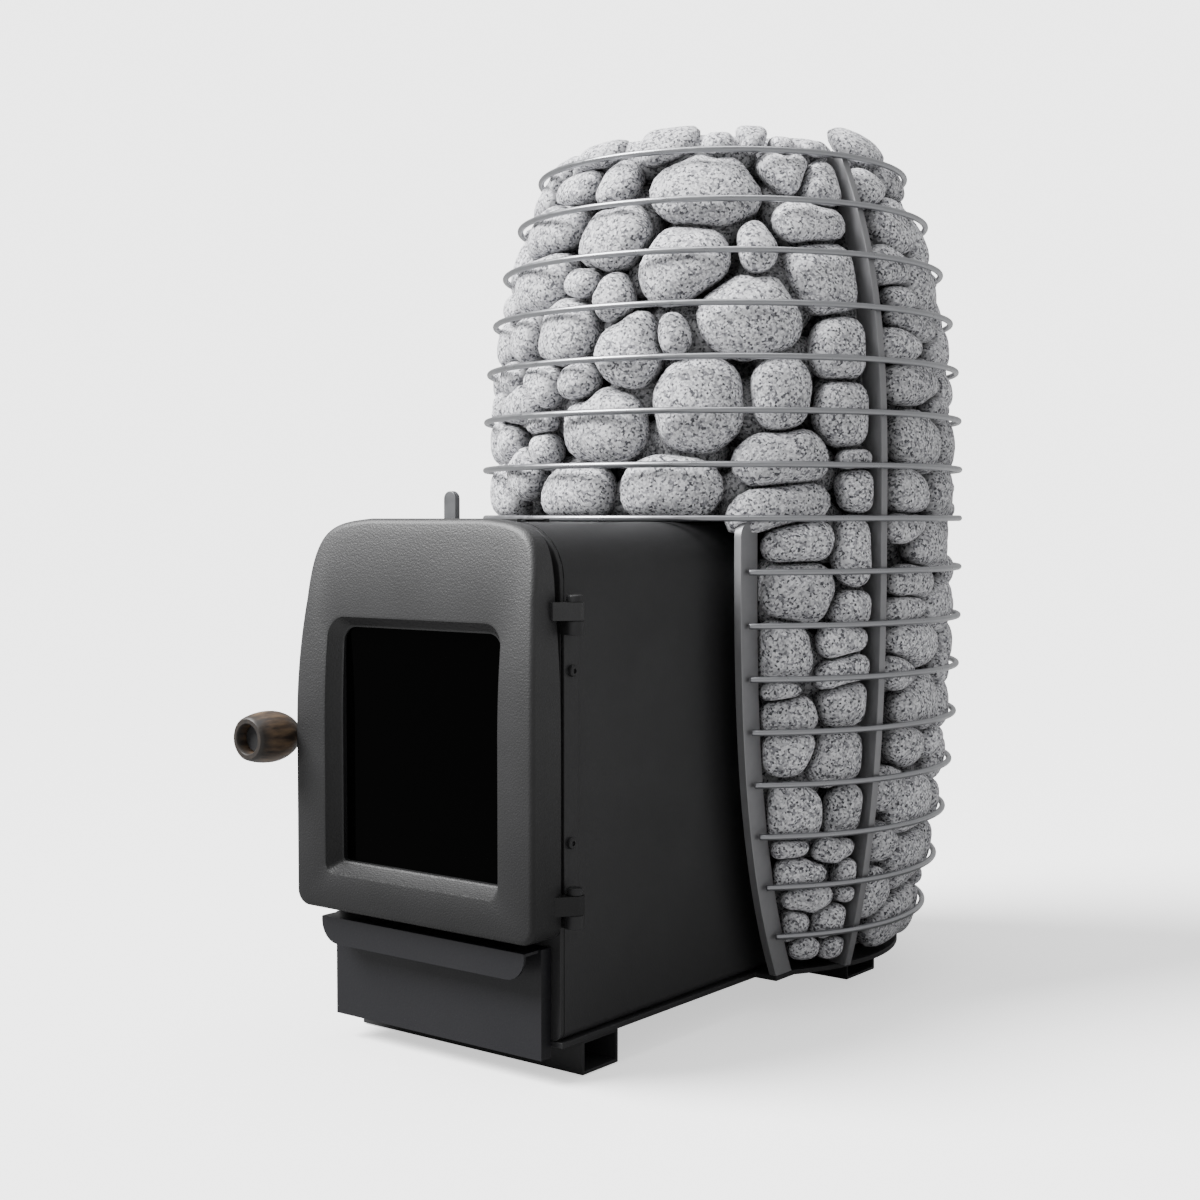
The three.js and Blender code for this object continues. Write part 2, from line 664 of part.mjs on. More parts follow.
function drawerFrontGeometry() {
  const half = DRAWER_WIDTH / 2;
  const t = DRAWER_SHEET;
  const pan = box(-half, half, DRAWER_FRONT, DRAWER_BACK, DRAWER_BOTTOM, DRAWER_TOP);
  const inside = box(
    -half + t,
    half - t,
    DRAWER_FRONT + t,
    DRAWER_BACK + OVERCUT,
    DRAWER_BOTTOM + t,
    DRAWER_TOP - t,
  );
  const lipHalf = LIP_WIDTH / 2;
  const shelf = box(-lipHalf, lipHalf, LIP_FRONT + t / 2, DRAWER_FRONT + t, DRAWER_TOP - t, DRAWER_TOP);
  const lip = uprightShape(LIP_WIDTH, DRAWER_TOP - LIP_DROP, DRAWER_TOP, TIGHTEST_BEND, LIP_CORNER);
  const folded = join(pan, shelf, extrudeY(lip, LIP_FRONT, LIP_FRONT + t));
  return cut(folded, inside);
}

function trayGeometry() {
  const half = TRAY_WIDTH / 2;
  const front = DRAWER_FRONT + DRAWER_SHEET + GAP;
  const rear = front + TRAY_LENGTH;
  const top = TRAY_BOTTOM + TRAY_HEIGHT;
  const t = TRAY_SHEET;
  const outside = box(-half, half, front, rear, TRAY_BOTTOM, top);
  const inside = box(-half + t, half - t, front + t, rear - t, TRAY_BOTTOM + t, top + OVERCUT);
  return cut(outside, inside);
}

place('ash_drawer_front', drawerFrontGeometry(), DRAWER_PAINT);
place('ash_tray', trayGeometry(), BLACK_SHEET);

// Door

// The casting's outline, or one drawn in from it by a margin: straight sides below, then a
// taper to the shoulders and a slightly crowned top.
function doorOutline(margin) {
  const half = DOOR_WIDTH / 2 - margin;
  const shoulder = DOOR_SHOULDER_WIDTH / 2 - margin;
  const bottom = DOOR_BOTTOM + margin;
  const top = DOOR_TOP - margin;
  const bend = DOOR_BOTTOM + DOOR_STRAIGHT;
  const shoulderZ = DOOR_BOTTOM + DOOR_SHOULDER - margin / 2;
  const corner = Math.max(DOOR_CORNER - margin, DOOR_LEAST_CORNER);
  const shape = new THREE.Shape();
  shape.moveTo(-half + corner, bottom);
  shape.lineTo(half - corner, bottom);
  shape.absarc(half - corner, bottom + corner, corner, -Math.PI / 2, 0, false);
  const side = (s) => ({
    bend: [s * half, bend],
    pull: [s * half, (bend + shoulderZ) / 2],
    shoulder: [s * shoulder, shoulderZ],
    turn: [s * (shoulder - DOOR_TURN_IN), top - DOOR_TURN_DROP],
    ease: [s * (shoulder - DOOR_EASE_IN), top - DOOR_CROWN],
    crown: [s * shoulder * DOOR_CROWN_SHARE, top],
  });
  const right = side(1);
  const left = side(-1);
  shape.lineTo(...right.bend);
  shape.quadraticCurveTo(...right.pull, ...right.shoulder);
  shape.bezierCurveTo(...right.turn, ...right.ease, ...right.crown);
  shape.lineTo(...left.crown);
  shape.bezierCurveTo(...left.ease, ...left.turn, ...left.shoulder);
  shape.quadraticCurveTo(...left.pull, ...left.bend);
  shape.absarc(-half + corner, bottom + corner, corner, Math.PI, 1.5 * Math.PI, false);
  return shape;
}

// Half width of the door at a height, read off its outline.
function doorHalfWidth(z) {
  const points = doorOutline(0).getPoints(2 * FINE_CURVE);
  const above = points.filter((p) => p.x > 0 && p.y >= z).sort((p, q) => p.y - q.y)[0];
  const below = points.filter((p) => p.x > 0 && p.y < z).sort((p, q) => q.y - p.y)[0];
  return THREE.MathUtils.mapLinear(z, below.y, above.y, below.x, above.x);
}

// Depth of the casting at a height: its face bows back below its top edge.
function doorDepth(z) {
  const rise = Math.max(1 - (DOOR_TOP - z) / DOOR_BOW, 0);
  return DOOR_THICK - (DOOR_THICK - DOOR_TOP_THICK) * rise ** 2;
}

// What lies in front of the bowed part of the face.
function bowCutter() {
  const start = DOOR_TOP - DOOR_BOW;
  const steps = 2 * FINE_CURVE;
  const face = Array.from({ length: steps + 1 }, (_, i) => {
    const z = start + (i * (DOOR_BOW + OVERCUT)) / steps;
    return [DOOR_BACK - doorDepth(z), z];
  });
  const ahead = [[2 * DOOR_FACE, DOOR_TOP + OVERCUT], [2 * DOOR_FACE, start]];
  return extrudeX(outline([...face, ...ahead]), -DOOR_WIDTH, DOOR_WIDTH);
}

// Sets the depths of a cutter in front of the door's back plane to the share that the bow leaves.
function followBow(geometry) {
  const position = geometry.attributes.position;
  for (let i = 0; i < position.count; i += 1) {
    const share = doorDepth(position.getZ(i)) / DOOR_THICK;
    position.setY(i, DOOR_BACK + (position.getY(i) - DOOR_BACK) * share);
  }
  return geometry;
}

const windowShape = (grow) => uprightShape(
  WINDOW_WIDTH + 2 * grow,
  WINDOW_BOTTOM - grow,
  WINDOW_TOP + grow,
  grow ? GLASS_CORNER : WINDOW_TOP_CORNER,
  grow ? GLASS_CORNER : WINDOW_CORNER,
);

// An ear or a lug in plan: a root block drawn out to an eye round the hinge axis.
function eyeArm(points, z0, z1) {
  const eye = barZ(EYE_RADIUS, z0, z1, HINGE_X, HINGE_Y, EYE_SIDES);
  return join(extrudeZ(outline(points), z0, z1), eye);
}

function doorEar(z0, height) {
  const flank = doorHalfWidth(z0 + height / 2);
  const root = flank - DOOR_RIM + EAR_INSET;
  const rear = (DOOR_BACK + FRONT) / 2;
  const front = DOOR_BACK - EYE_RADIUS;
  const gasketEdge = doorHalfWidth(z0) - DOOR_RIM + GASKET_WIDTH / 2;
  const besideGasket = gasketEdge + EAR_GASKET_CLEAR;
  return eyeArm([
    [root, front],
    [flank, front],
    [HINGE_X + EYE_RADIUS, HINGE_Y],
    [HINGE_X - EYE_RADIUS, HINGE_Y],
    [HINGE_X - EYE_RADIUS, rear],
    [besideGasket, rear],
    [besideGasket, DOOR_BACK],
    [root, DOOR_BACK],
  ], z0, z0 + height);
}

const PIN_HOLE = PIN_RADIUS + RUNNING;

function doorGeometry() {
  const blank = new THREE.ExtrudeGeometry(doorOutline(DOOR_ROUND), {
    depth: DOOR_THICK - DOOR_ROUND,
    curveSegments: FINE_CURVE,
    bevelSize: DOOR_ROUND,
    bevelThickness: DOOR_ROUND,
    bevelSegments: CURVE,
  }).rotateX(Math.PI / 2).translate(0, DOOR_BACK, 0);
  const reveal = new THREE.ExtrudeGeometry(windowShape(0), {
    depth: DOOR_THICK,
    curveSegments: CURVE,
    bevelSize: WINDOW_BEVEL,
    bevelThickness: WINDOW_BEVEL_DEPTH,
    bevelSegments: 1,
  }).rotateX(Math.PI / 2).translate(0, DOOR_FACE, 0);
  const behind = box(-DOOR_WIDTH, DOOR_WIDTH, DOOR_BACK, 0, 0, 2 * DOOR_TOP);
  const casting = cut(
    blank,
    bowCutter(),
    followBow(reveal),
    behind,
    extrudeY(windowShape(0), 2 * DOOR_FACE, DOOR_BACK),
    extrudeY(doorOutline(DOOR_RIM), HOLLOW_FACE, DOOR_BACK + OVERCUT, FINE_CURVE),
    extrudeY(windowShape(GLASS_LAP + GAP), GLASS_SEAT, HOLLOW_FACE + OVERCUT, COARSE_CURVE),
  );
  const face = -DOOR_WIDTH / 2 - LATCH_BOSS;
  const root = -DOOR_WIDTH / 2 + DOOR_RIM;
  const boss = barX(LATCH_BOSS_RADIUS, face, root, PIVOT_Y, LATCH_HEIGHT, BOSS_SIDES);
  const dressed = join(
    casting,
    boss,
    doorEar(UPPER_EAR, UPPER_EAR_HEIGHT),
    doorEar(LOWER_EAR, LOWER_EAR_HEIGHT),
  );
  return cut(
    dressed,
    barX(PIN_HOLE, face - OVERCUT, root - LATCH_BOSS_BLIND, PIVOT_Y, LATCH_HEIGHT),
    barZ(PIN_HOLE, UPPER_EAR - OVERCUT, UPPER_EAR + UPPER_EAR_HEIGHT + OVERCUT, HINGE_X, HINGE_Y),
    barZ(PIN_HOLE, LOWER_EAR - OVERCUT, LOWER_EAR + LOWER_EAR_HEIGHT + OVERCUT, HINGE_X, HINGE_Y),
  );
}

function frameOf(outer, inner, y0, y1, curveSegments) {
  outer.holes.push(inner);
  return extrudeY(outer, y0, y1, curveSegments);
}

const GLASS_FRONT = GLASS_SEAT + GAP;
const GLASS_BACK = GLASS_FRONT + GLASS_THICK;
place('door_casting', doorGeometry(), CAST_IRON);
place('door_glass', extrudeY(windowShape(GLASS_LAP), GLASS_FRONT, GLASS_BACK, COARSE_CURVE), DARK_GLASS);
place(
  'glass_retainer',
  frameOf(
    windowShape(GLASS_LAP),
    windowShape(-GLASS_LAP),
    GLASS_BACK + GAP,
    GLASS_BACK + GAP + RETAINER_SHEET,
    COARSE_CURVE,
  ),
  BARE_STEEL,
);
place(
  'door_gasket',
  frameOf(
    doorOutline(DOOR_RIM - GASKET_WIDTH / 2),
    doorOutline(DOOR_RIM + GASKET_WIDTH / 2),
    DOOR_BACK + GAP,
    FRONT - GAP,
    CURVE,
  ),
  ROPE,
);

// Hinge: a bracket strip with two lugs on the firebox side, and a headed pin dropped into each.

// A lug's front edge slants back to the strip, so that the rope seal passes it as the door swings.
function lugArm(z1) {
  return eyeArm([
    [STRIP_INNER, HINGE_Y - EYE_RADIUS / 2],
    [HINGE_X, HINGE_Y - EYE_RADIUS],
    [HINGE_X + EYE_RADIUS, HINGE_Y],
    [HINGE_X, HINGE_Y + EYE_RADIUS],
    [STRIP_INNER, HINGE_Y + EYE_RADIUS],
  ], z1 - LUG_HEIGHT, z1);
}

function bracketGeometry() {
  const low = LOWER_EAR - GAP - LUG_HEIGHT;
  const high = UPPER_EAR + UPPER_EAR_HEIGHT;
  const front = HINGE_Y - EYE_RADIUS + STRIP_SETBACK;
  const strip = box(STRIP_INNER, STRIP_OUTER, front, front + STRIP_WIDTH, low, high);
  const bracket = join(strip, lugArm(UPPER_EAR - GAP), lugArm(LOWER_EAR - GAP));
  return cut(bracket, barZ(PIN_HOLE, low - OVERCUT, high, HINGE_X, HINGE_Y));
}

function pinGeometry(ear, earHeight) {
  const under = ear + earHeight + GAP;
  const tip = ear - GAP - LUG_HEIGHT;
  const profile = [
    [0, tip],
    [PIN_RADIUS, tip],
    [PIN_RADIUS, under],
    [PIN_HEAD_RADIUS, under],
    [PIN_HEAD_RADIUS, under + PIN_HEAD],
    [0, under + PIN_HEAD],
  ];
  return new THREE.LatheGeometry(outline(profile).getPoints(), PIN_SIDES).rotateX(Math.PI / 2);
}

function placePin(name, ear, earHeight) {
  place(name, pinGeometry(ear, earHeight), BLACK_SHEET).position.set(HINGE_X, HINGE_Y, 0);
}

place('hinge_bracket', bracketGeometry(), BLACK_SHEET);
placePin('hinge_pin_upper', UPPER_EAR, UPPER_EAR_HEIGHT);
placePin('hinge_pin_lower', LOWER_EAR, LOWER_EAR_HEIGHT);

// Latch: a lever on a pivot at the door's flank, held down in front by its wooden knob, with its
// tail under a catch pin on the firebox.

function leverGeometry() {
  const half = LEVER_WIDTH / 2;
  const tail = PIVOT_Y + LEVER_TAIL;
  const bar = outline([
    [LEVER_FRONT, LATCH_HEIGHT - half],
    [tail - LEVER_NOSE, LATCH_HEIGHT - half],
    [tail, LATCH_HEIGHT - half / 2],
    [tail, LATCH_HEIGHT],
    [tail - LEVER_NOSE, LATCH_HEIGHT + half],
    [LEVER_FRONT, LATCH_HEIGHT + half],
  ]);
  const span = [-LEVER_OUTER, -LEVER_INNER];
  const eye = barX(LATCH_BOSS_RADIUS, ...span, PIVOT_Y, LATCH_HEIGHT, BOSS_SIDES);
  const hole = barX(PIN_HOLE, -LEVER_OUTER - OVERCUT, -LEVER_INNER + OVERCUT, PIVOT_Y, LATCH_HEIGHT);
  return cut(join(extrudeX(bar, ...span), eye), hole);
}

function pivotGeometry() {
  const under = -LEVER_OUTER - GAP;
  const shank = barX(PIN_RADIUS, under - GAP, -DOOR_WIDTH / 2, PIVOT_Y, LATCH_HEIGHT);
  const head = barX(PIN_HEAD_RADIUS, under - PIN_HEAD, under, PIVOT_Y, LATCH_HEIGHT, HEX_SIDES);
  return join(shank, head);
}

// Turned barrel round its own axis along y, with a through bore and a recess in its front end.
function knobGeometry() {
  const rear = -GAP;
  const front = rear - KNOB_LENGTH;
  const curve = new THREE.SplineCurve([
    new THREE.Vector2(KNOB_FRONT_RADIUS, front),
    new THREE.Vector2(KNOB_RADIUS * KNOB_SWELL, front + KNOB_LENGTH * KNOB_SWELL_AT),
    new THREE.Vector2(KNOB_RADIUS, front + KNOB_LENGTH * KNOB_WIDEST_AT),
    new THREE.Vector2(KNOB_REAR_RADIUS, rear),
  ]);
  const bore = PIN_RADIUS + GAP;
  const profile = [
    new THREE.Vector2(bore, front + KNOB_RECESS),
    new THREE.Vector2(KNOB_RECESS_RADIUS, front + KNOB_RECESS),
    new THREE.Vector2(KNOB_RECESS_RADIUS, front),
    ...curve.getPoints(2 * FINE_CURVE),
    new THREE.Vector2(bore, rear),
    new THREE.Vector2(bore, front + KNOB_RECESS),
  ];
  return new THREE.LatheGeometry(profile, BOSS_SIDES);
}

function knobBoltGeometry() {
  const seat = -GAP - KNOB_LENGTH + KNOB_RECESS - GAP;
  const head = KNOB_RECESS_RADIUS - 2 * GAP;
  const profile = outline([
    [0, seat - KNOB_BOLT_HEAD],
    [head, seat - KNOB_BOLT_HEAD],
    [head, seat],
    [PIN_RADIUS, seat],
    [PIN_RADIUS, -GAP],
    [0, -GAP],
  ]);
  return new THREE.LatheGeometry(profile.getPoints(), PIN_SIDES);
}

function catchGeometry() {
  const face = HALF_BOX + GAP;
  const half = CATCH_HEIGHT / 2;
  const y0 = CATCH_Y - CATCH_WIDTH / 2;
  const plate = box(-face - CATCH_PLATE, -face, y0, y0 + CATCH_WIDTH, CATCH_Z - half, CATCH_Z + half);
  return join(plate, barX(PIN_RADIUS, -LEVER_OUTER - GAP, -face - OVERCUT, CATCH_Y, CATCH_Z));
}

place('latch_lever', leverGeometry(), CAST_IRON);
place('latch_pivot', pivotGeometry(), BARE_STEEL);
place('latch_knob', knobGeometry(), WOOD).position.set(LEVER_X, LEVER_FRONT, LATCH_HEIGHT);
place('knob_bolt', knobBoltGeometry(), BARE_STEEL).position.set(LEVER_X, LEVER_FRONT, LATCH_HEIGHT);
place('latch_catch', catchGeometry(), BARE_STEEL);

// Stones: courses of pebbles that touch their neighbours at drawn-in joints. Each rib stands in a
// joint, the courses meet at wavy beds, and the lower ones lie against the firebox.

const COURSES = LOWER_COURSES + UPPER_COURSES;

// Height of the bed under a course at a bearing; level on the base and on the roof.
const levelBed = (course) => course === 0 || course === LOWER_COURSES;

function stoneBed(course, bearing) {
  const lift = (ROOF - BASE_TOP) / LOWER_COURSES;
  const rise = (STONE_PILE_TOP - ROOF) / UPPER_COURSES;
  const above = course - LOWER_COURSES;
  const level = above > 0 ? ROOF + above * rise : BASE_TOP + course * lift;
  if (levelBed(course)) return level;
  return level + STONE_WAVE * Math.sin(radians(BED_WAVES * bearing) + COURSE_PHASE * course);
}

// Radius at which a course lies against the firebox below the roof, or loosely round the flue above it.
function stoneInside(course, bearing) {
  if (course >= LOWER_COURSES) return FLUE_RADIUS + STONE_FLUE_ROOM;
  const beside = (HALF_BOX + GAP) / Math.max(Math.abs(Math.sin(radians(bearing))), 1e-6);
  const backwards = -Math.cos(radians(bearing));
  return backwards > 0 ? Math.min(beside, (BACK + GAP) / backwards) : beside;
}

// Section of a stone at a bearing, drawn in at a joint. The top course has a second, inner row.
function stoneSection(course, bearing, pinch, drawnIn) {
  const bottom = stoneBed(course, bearing) + (levelBed(course) ? GAP : STONE_GAP);
  const top = stoneBed(course + 1, bearing);
  const ease = pinch * STONE_PINCH * (top - bottom);
  const [low, high] = [bottom + ease, top - ease];
  const edge = STONE_EDGE * (high - low);
  const outer = (z) => barrel(z) - RING_ROD - STONE_GAP - drawnIn;
  const inner = stoneInside(course, bearing);
  const ridge = Math.max(outer(high) - STONE_ROUND, (outer(high) + inner) / 2);
  const face = [
    [outer(low + edge), low + edge],
    [outer(high - edge), high - edge],
    [ridge, high],
  ];
  const back = [[inner, (low + high) / 2], [ridge, low]];
  if (course < COURSES - 1) return [...face, ...back];
  const valley = ridge - STONE_ROUND;
  return [...face, [valley, high - edge], [(valley + inner) / 2, high], ...back];
}

// Bearing at which a lower course starts, just behind the front bar at its foot.
function stoneStart(course) {
  const rear = barFront(stoneBed(course, 0) - STONE_WAVE) + BAR_WIDTH + STONE_GAP;
  return THREE.MathUtils.radToDeg(Math.atan2(BAR_OUTER, -rear));
}

// How much a stone differs from the mean one, from -1 to 1.
const stoneVary = (j, course, bay) => Math.sin(STONE_PHASE * j + COURSE_PHASE * course + bay);

// Widths of the stones between two bearings, as uneven shares of the span.
function stoneWidths(span, course, bay) {
  const count = Math.max(1, Math.round((radians(span) * BELLY_RADIUS) / STONE_WIDTH));
  const shares = Array.from({ length: count }, (_, j) => 1 + STONE_UNEVEN * stoneVary(j, course, bay));
  const whole = shares.reduce((sum, share) => sum + share, 0);
  return shares.map((share) => (span * share) / whole);
}

// Stations of a course, bay by bay between the ribs and the firebox's rear corners: a joint, then
// two full sections, for each stone. A joint at a rib is as wide as the rib.
function stoneStations(course) {
  const lower = course < LOWER_COURSES;
  const start = stoneStart(course);
  const ribInside = barrel(BASE_TOP) - RIB_SEAT - RIB_DEPTH;
  const slot = THREE.MathUtils.radToDeg((RIB_THICK / 2 + GAP) / ribInside);
  const corner = THREE.MathUtils.radToDeg(Math.atan2(HALF_BOX + GAP, -BACK - GAP));
  const anchors = lower
    ? [start, ...[...RIB_BEARINGS, corner, FULL_TURN - corner].sort((a, b) => a - b), FULL_TURN - start]
    : [...RIB_BEARINGS, FULL_TURN + SIDE_RIB];
  const clear = (bearing) => (RIB_BEARINGS.includes(bearing % FULL_TURN) ? slot : 0);
  const stations = [];
  const add = (bearing, pinch, drawnIn) => {
    stations.push({ bearing, section: stoneSection(course, bearing, pinch, drawnIn) });
  };
  for (let bay = 0; bay + 1 < anchors.length; bay += 1) {
    let bearing = anchors[bay] + clear(anchors[bay]);
    const end = anchors[bay + 1] - clear(anchors[bay + 1]);
    stoneWidths(end - bearing, course, bay).forEach((width, j) => {
      const setback = STONE_SETBACK * (1 + stoneVary(j, course, bay));
      add(bearing, 1, j || !clear(anchors[bay]) ? STONE_JOINT : RIB_JOINT);
      add(bearing + STONE_SHOULDER * width, 0, setback);
      add(bearing + (1 - STONE_SHOULDER) * width, 0, setback);
      bearing += width;
    });
    if (clear(anchors[bay + 1])) add(end, 1, RIB_JOINT);
    else if (bay + 2 === anchors.length) add(end, 1, STONE_JOINT);
  }
  return stations;
}

for (let course = 0; course < COURSES; course += 1) {
  const skin = aroundAxis(stoneStations(course), course >= LOWER_COURSES);
  place(`stone_course_${String(course + 1).padStart(2, '0')}`, skin, GRANITE);
}

const part = new THREE.Group();
stove.position.y = ORIGIN_SHIFT;
part.add(stove);

export default part;
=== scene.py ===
"""Looks of a wood-burning sauna stove.

A barrel cage of round steel bars holds a fill of granite pebbles round a firebox of black sheet,
which runs forward to a cast-iron glass door with an ash drawer below it.
Shapes are worked out in millimetres from the cage's upright axis, front towards -Y, and moved to
the part's own frame, in metres, when a mesh is made.
"""

import json
import logging
import math
from dataclasses import astuple, dataclass
from enum import Enum
from typing import Any, Sequence

import bmesh
import bpy
import numpy as np
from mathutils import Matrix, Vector

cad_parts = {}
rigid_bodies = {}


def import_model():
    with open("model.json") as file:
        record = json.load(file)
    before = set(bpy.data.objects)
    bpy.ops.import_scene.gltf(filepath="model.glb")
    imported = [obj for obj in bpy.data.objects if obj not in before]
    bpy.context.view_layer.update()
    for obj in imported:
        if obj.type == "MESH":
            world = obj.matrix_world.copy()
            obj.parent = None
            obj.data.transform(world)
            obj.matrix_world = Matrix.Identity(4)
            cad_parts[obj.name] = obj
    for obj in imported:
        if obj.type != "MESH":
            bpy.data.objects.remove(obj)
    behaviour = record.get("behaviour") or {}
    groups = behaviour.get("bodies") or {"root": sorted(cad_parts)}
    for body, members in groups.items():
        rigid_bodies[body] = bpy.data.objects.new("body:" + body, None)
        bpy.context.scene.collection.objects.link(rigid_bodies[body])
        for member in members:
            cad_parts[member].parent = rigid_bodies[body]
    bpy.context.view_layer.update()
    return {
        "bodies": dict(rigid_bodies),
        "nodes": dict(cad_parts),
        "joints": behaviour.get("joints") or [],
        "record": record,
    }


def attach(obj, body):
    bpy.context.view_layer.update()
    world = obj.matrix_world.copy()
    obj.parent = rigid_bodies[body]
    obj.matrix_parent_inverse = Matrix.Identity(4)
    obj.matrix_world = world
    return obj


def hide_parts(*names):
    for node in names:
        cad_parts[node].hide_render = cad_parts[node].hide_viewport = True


LOG = logging.getLogger("sauna_stove")

AXIS_Y = 131.65
GAP = 0.3
RING_COUNT = 16
OPEN_RINGS = 8
RING_PITCH = 50.0
LOWEST_RING = 75.0
ROD = 6.0
BELLY_HEIGHT = LOWEST_RING + OPEN_RINGS * RING_PITCH
TOP_RING = LOWEST_RING + (RING_COUNT - 1) * RING_PITCH
BELLY_RADIUS = 252.0
TOP_RADIUS = 193.0
BOTTOM_RADIUS = 217.0
BASE_TOP = 35.3
ROOF = 471.7
HALF_BOX = 132.0
FIREBOX_FRONT = -433.0
FIREBOX_BACK = 115.0
BAR_OUTER = 158.0
BAR_INNER = 150.0
RIB_BEARINGS = (73.5, 152.0, 208.0, 286.5)
LOWER_COURSES = 6
UPPER_COURSES = 5
PILE_TOP = 858.0


class Body(Enum):
    """Rigid groups that the pieces ride on."""

    STOVE = "stove"
    DOOR = "door"
    LATCH = "latch"
    DRAWER = "ash_drawer"
    AIR = "air_slide"


class Side(Enum):
    """The two sides of the stove, seen from its front."""

    LEFT = -1
    RIGHT = 1


def linear(code: str) -> tuple[float, float, float, float]:
    """Turns an sRGB hex colour to linear red, green, blue and full alpha.

    Args:
        code: Colour as "#rrggbb".

    Returns:
        Four linear values from 0 to 1.
    """
    srgb = np.array([int(code[i : i + 2], 16) for i in (1, 3, 5)]) / 255
    low = srgb / 12.92
    high = ((srgb + 0.055) / 1.055) ** 2.4
    return (*np.where(srgb <= 0.04045, low, high).tolist(), 1.0)


def add(tree: bpy.types.NodeTree, kind: str, inputs: dict[Any, Any] | None = None, **settings: Any):
    """Adds one shader node with its settings, values and links.

    Args:
        tree: Node tree of a material.
        kind: Node's type name.
        inputs: Socket name or number to a value, or to the output socket that feeds it.
        **settings: Properties of the node.

    Returns:
        The new node.
    """
    node = tree.nodes.new(kind)
    for key, value in settings.items():
        setattr(node, key, value)
    for key, value in (inputs or {}).items():
        if isinstance(value, bpy.types.NodeSocket):
            tree.links.new(value, node.inputs[key])
        else:
            node.inputs[key].default_value = value
    return node


def per_mm(size: float) -> float:
    """Noise scale, in metres of Object space, that gives features of a size in millimetres."""
    return 1000.0 / size


@dataclass(frozen=True)
class Finish:
    """A plain finish; the kinds below add their own pattern.

    Attributes:
        name: Material's name, for what it is made of.
        slot: Material slot of the record; not used.
        colour: Main sRGB colour.
        roughness: Mean roughness.
        metallic: 1 for bare metal.
        sheen: Strength of the mirror-like share of the light; 0.5 is a usual varnish.
    """

    name: str
    slot: str
    colour: str
    roughness: float
    metallic: float = 0.0
    sheen: float = 0.5

    def pattern(self, tree: bpy.types.NodeTree, place: bpy.types.NodeSocket, shader: bpy.types.Node) -> None:
        """Adds the finish's pattern; a plain finish has none."""

    def material(self) -> bpy.types.Material:
        """Makes the material, or gives back the one already made."""
        made = bpy.data.materials.get(self.name)
        if made:
            return made
        made = bpy.data.materials.new(self.name)
        made.use_nodes = True
        tree = made.node_tree
        shader = tree.nodes["Principled BSDF"]
        shader.inputs["Base Color"].default_value = linear(self.colour)
        shader.inputs["Roughness"].default_value = self.roughness
        shader.inputs["Metallic"].default_value = self.metallic
        shader.inputs["Specular IOR Level"].default_value = self.sheen
        place = add(tree, "ShaderNodeTexCoord").outputs["Object"]
        self.pattern(tree, place, shader)
        return made


def ramp(tree: bpy.types.NodeTree, factor: bpy.types.NodeSocket, stops: Sequence[tuple[float, str]]):
    """Colour ramp node from position and hex colour pairs.

    Args:
        tree: Node tree of a material.
        factor: Socket that drives the ramp.
        stops: Positions from 0 to 1 with sRGB colours, in order.

    Returns:
        The ramp's colour output.
    """
    node = add(tree, "ShaderNodeValToRGB", {"Fac": factor})
    band = node.color_ramp
    while len(band.elements) < len(stops):
        band.elements.new(0.5)
    for element, (position, code) in zip(band.elements, stops):
        element.position = position
        element.color = linear(code)
    return node.outputs["Color"]


def roughen(tree: bpy.types.NodeTree, place: bpy.types.NodeSocket, grain: float, low: float, high: float):
    """Noise spread over a range of roughness.

    Args:
        tree: Node tree of a material.
        place: Coordinates.
        grain: Size of the patches in millimetres.
        low: Lowest roughness.
        high: Highest roughness.

    Returns:
        A socket with the roughness.
    """
    noise = add(tree, "ShaderNodeTexNoise", {"Vector": place, "Scale": per_mm(grain), "Detail": 3.0})
    spread = add(
        tree,
        "ShaderNodeMapRange",
        {"Value": noise.outputs["Fac"], "From Min": 0.3, "From Max": 0.7, "To Min": low, "To Max": high},
    )
    return spread.outputs["Result"]


def bump(tree: bpy.types.NodeTree, shader: bpy.types.Node, height: bpy.types.NodeSocket, depth: float) -> None:
    """Feeds the shader's normal from a height pattern of a depth in millimetres."""
    node = add(tree, "ShaderNodeBump", {"Height": height, "Distance": depth / 1000.0, "Strength": 1.0})
    tree.links.new(node.outputs["Normal"], shader.inputs["Normal"])


@dataclass(frozen=True)
class RoundBar(Finish):
    """Cold-drawn stainless bar: satin and bright, with faint drawing marks."""

    def pattern(self, tree, place, shader):
        """Patches of slightly duller metal, 12 mm long."""
        rough = roughen(tree, place, 12.0, self.roughness - 0.06, self.roughness + 0.08)
        tree.links.new(rough, shader.inputs["Roughness"])


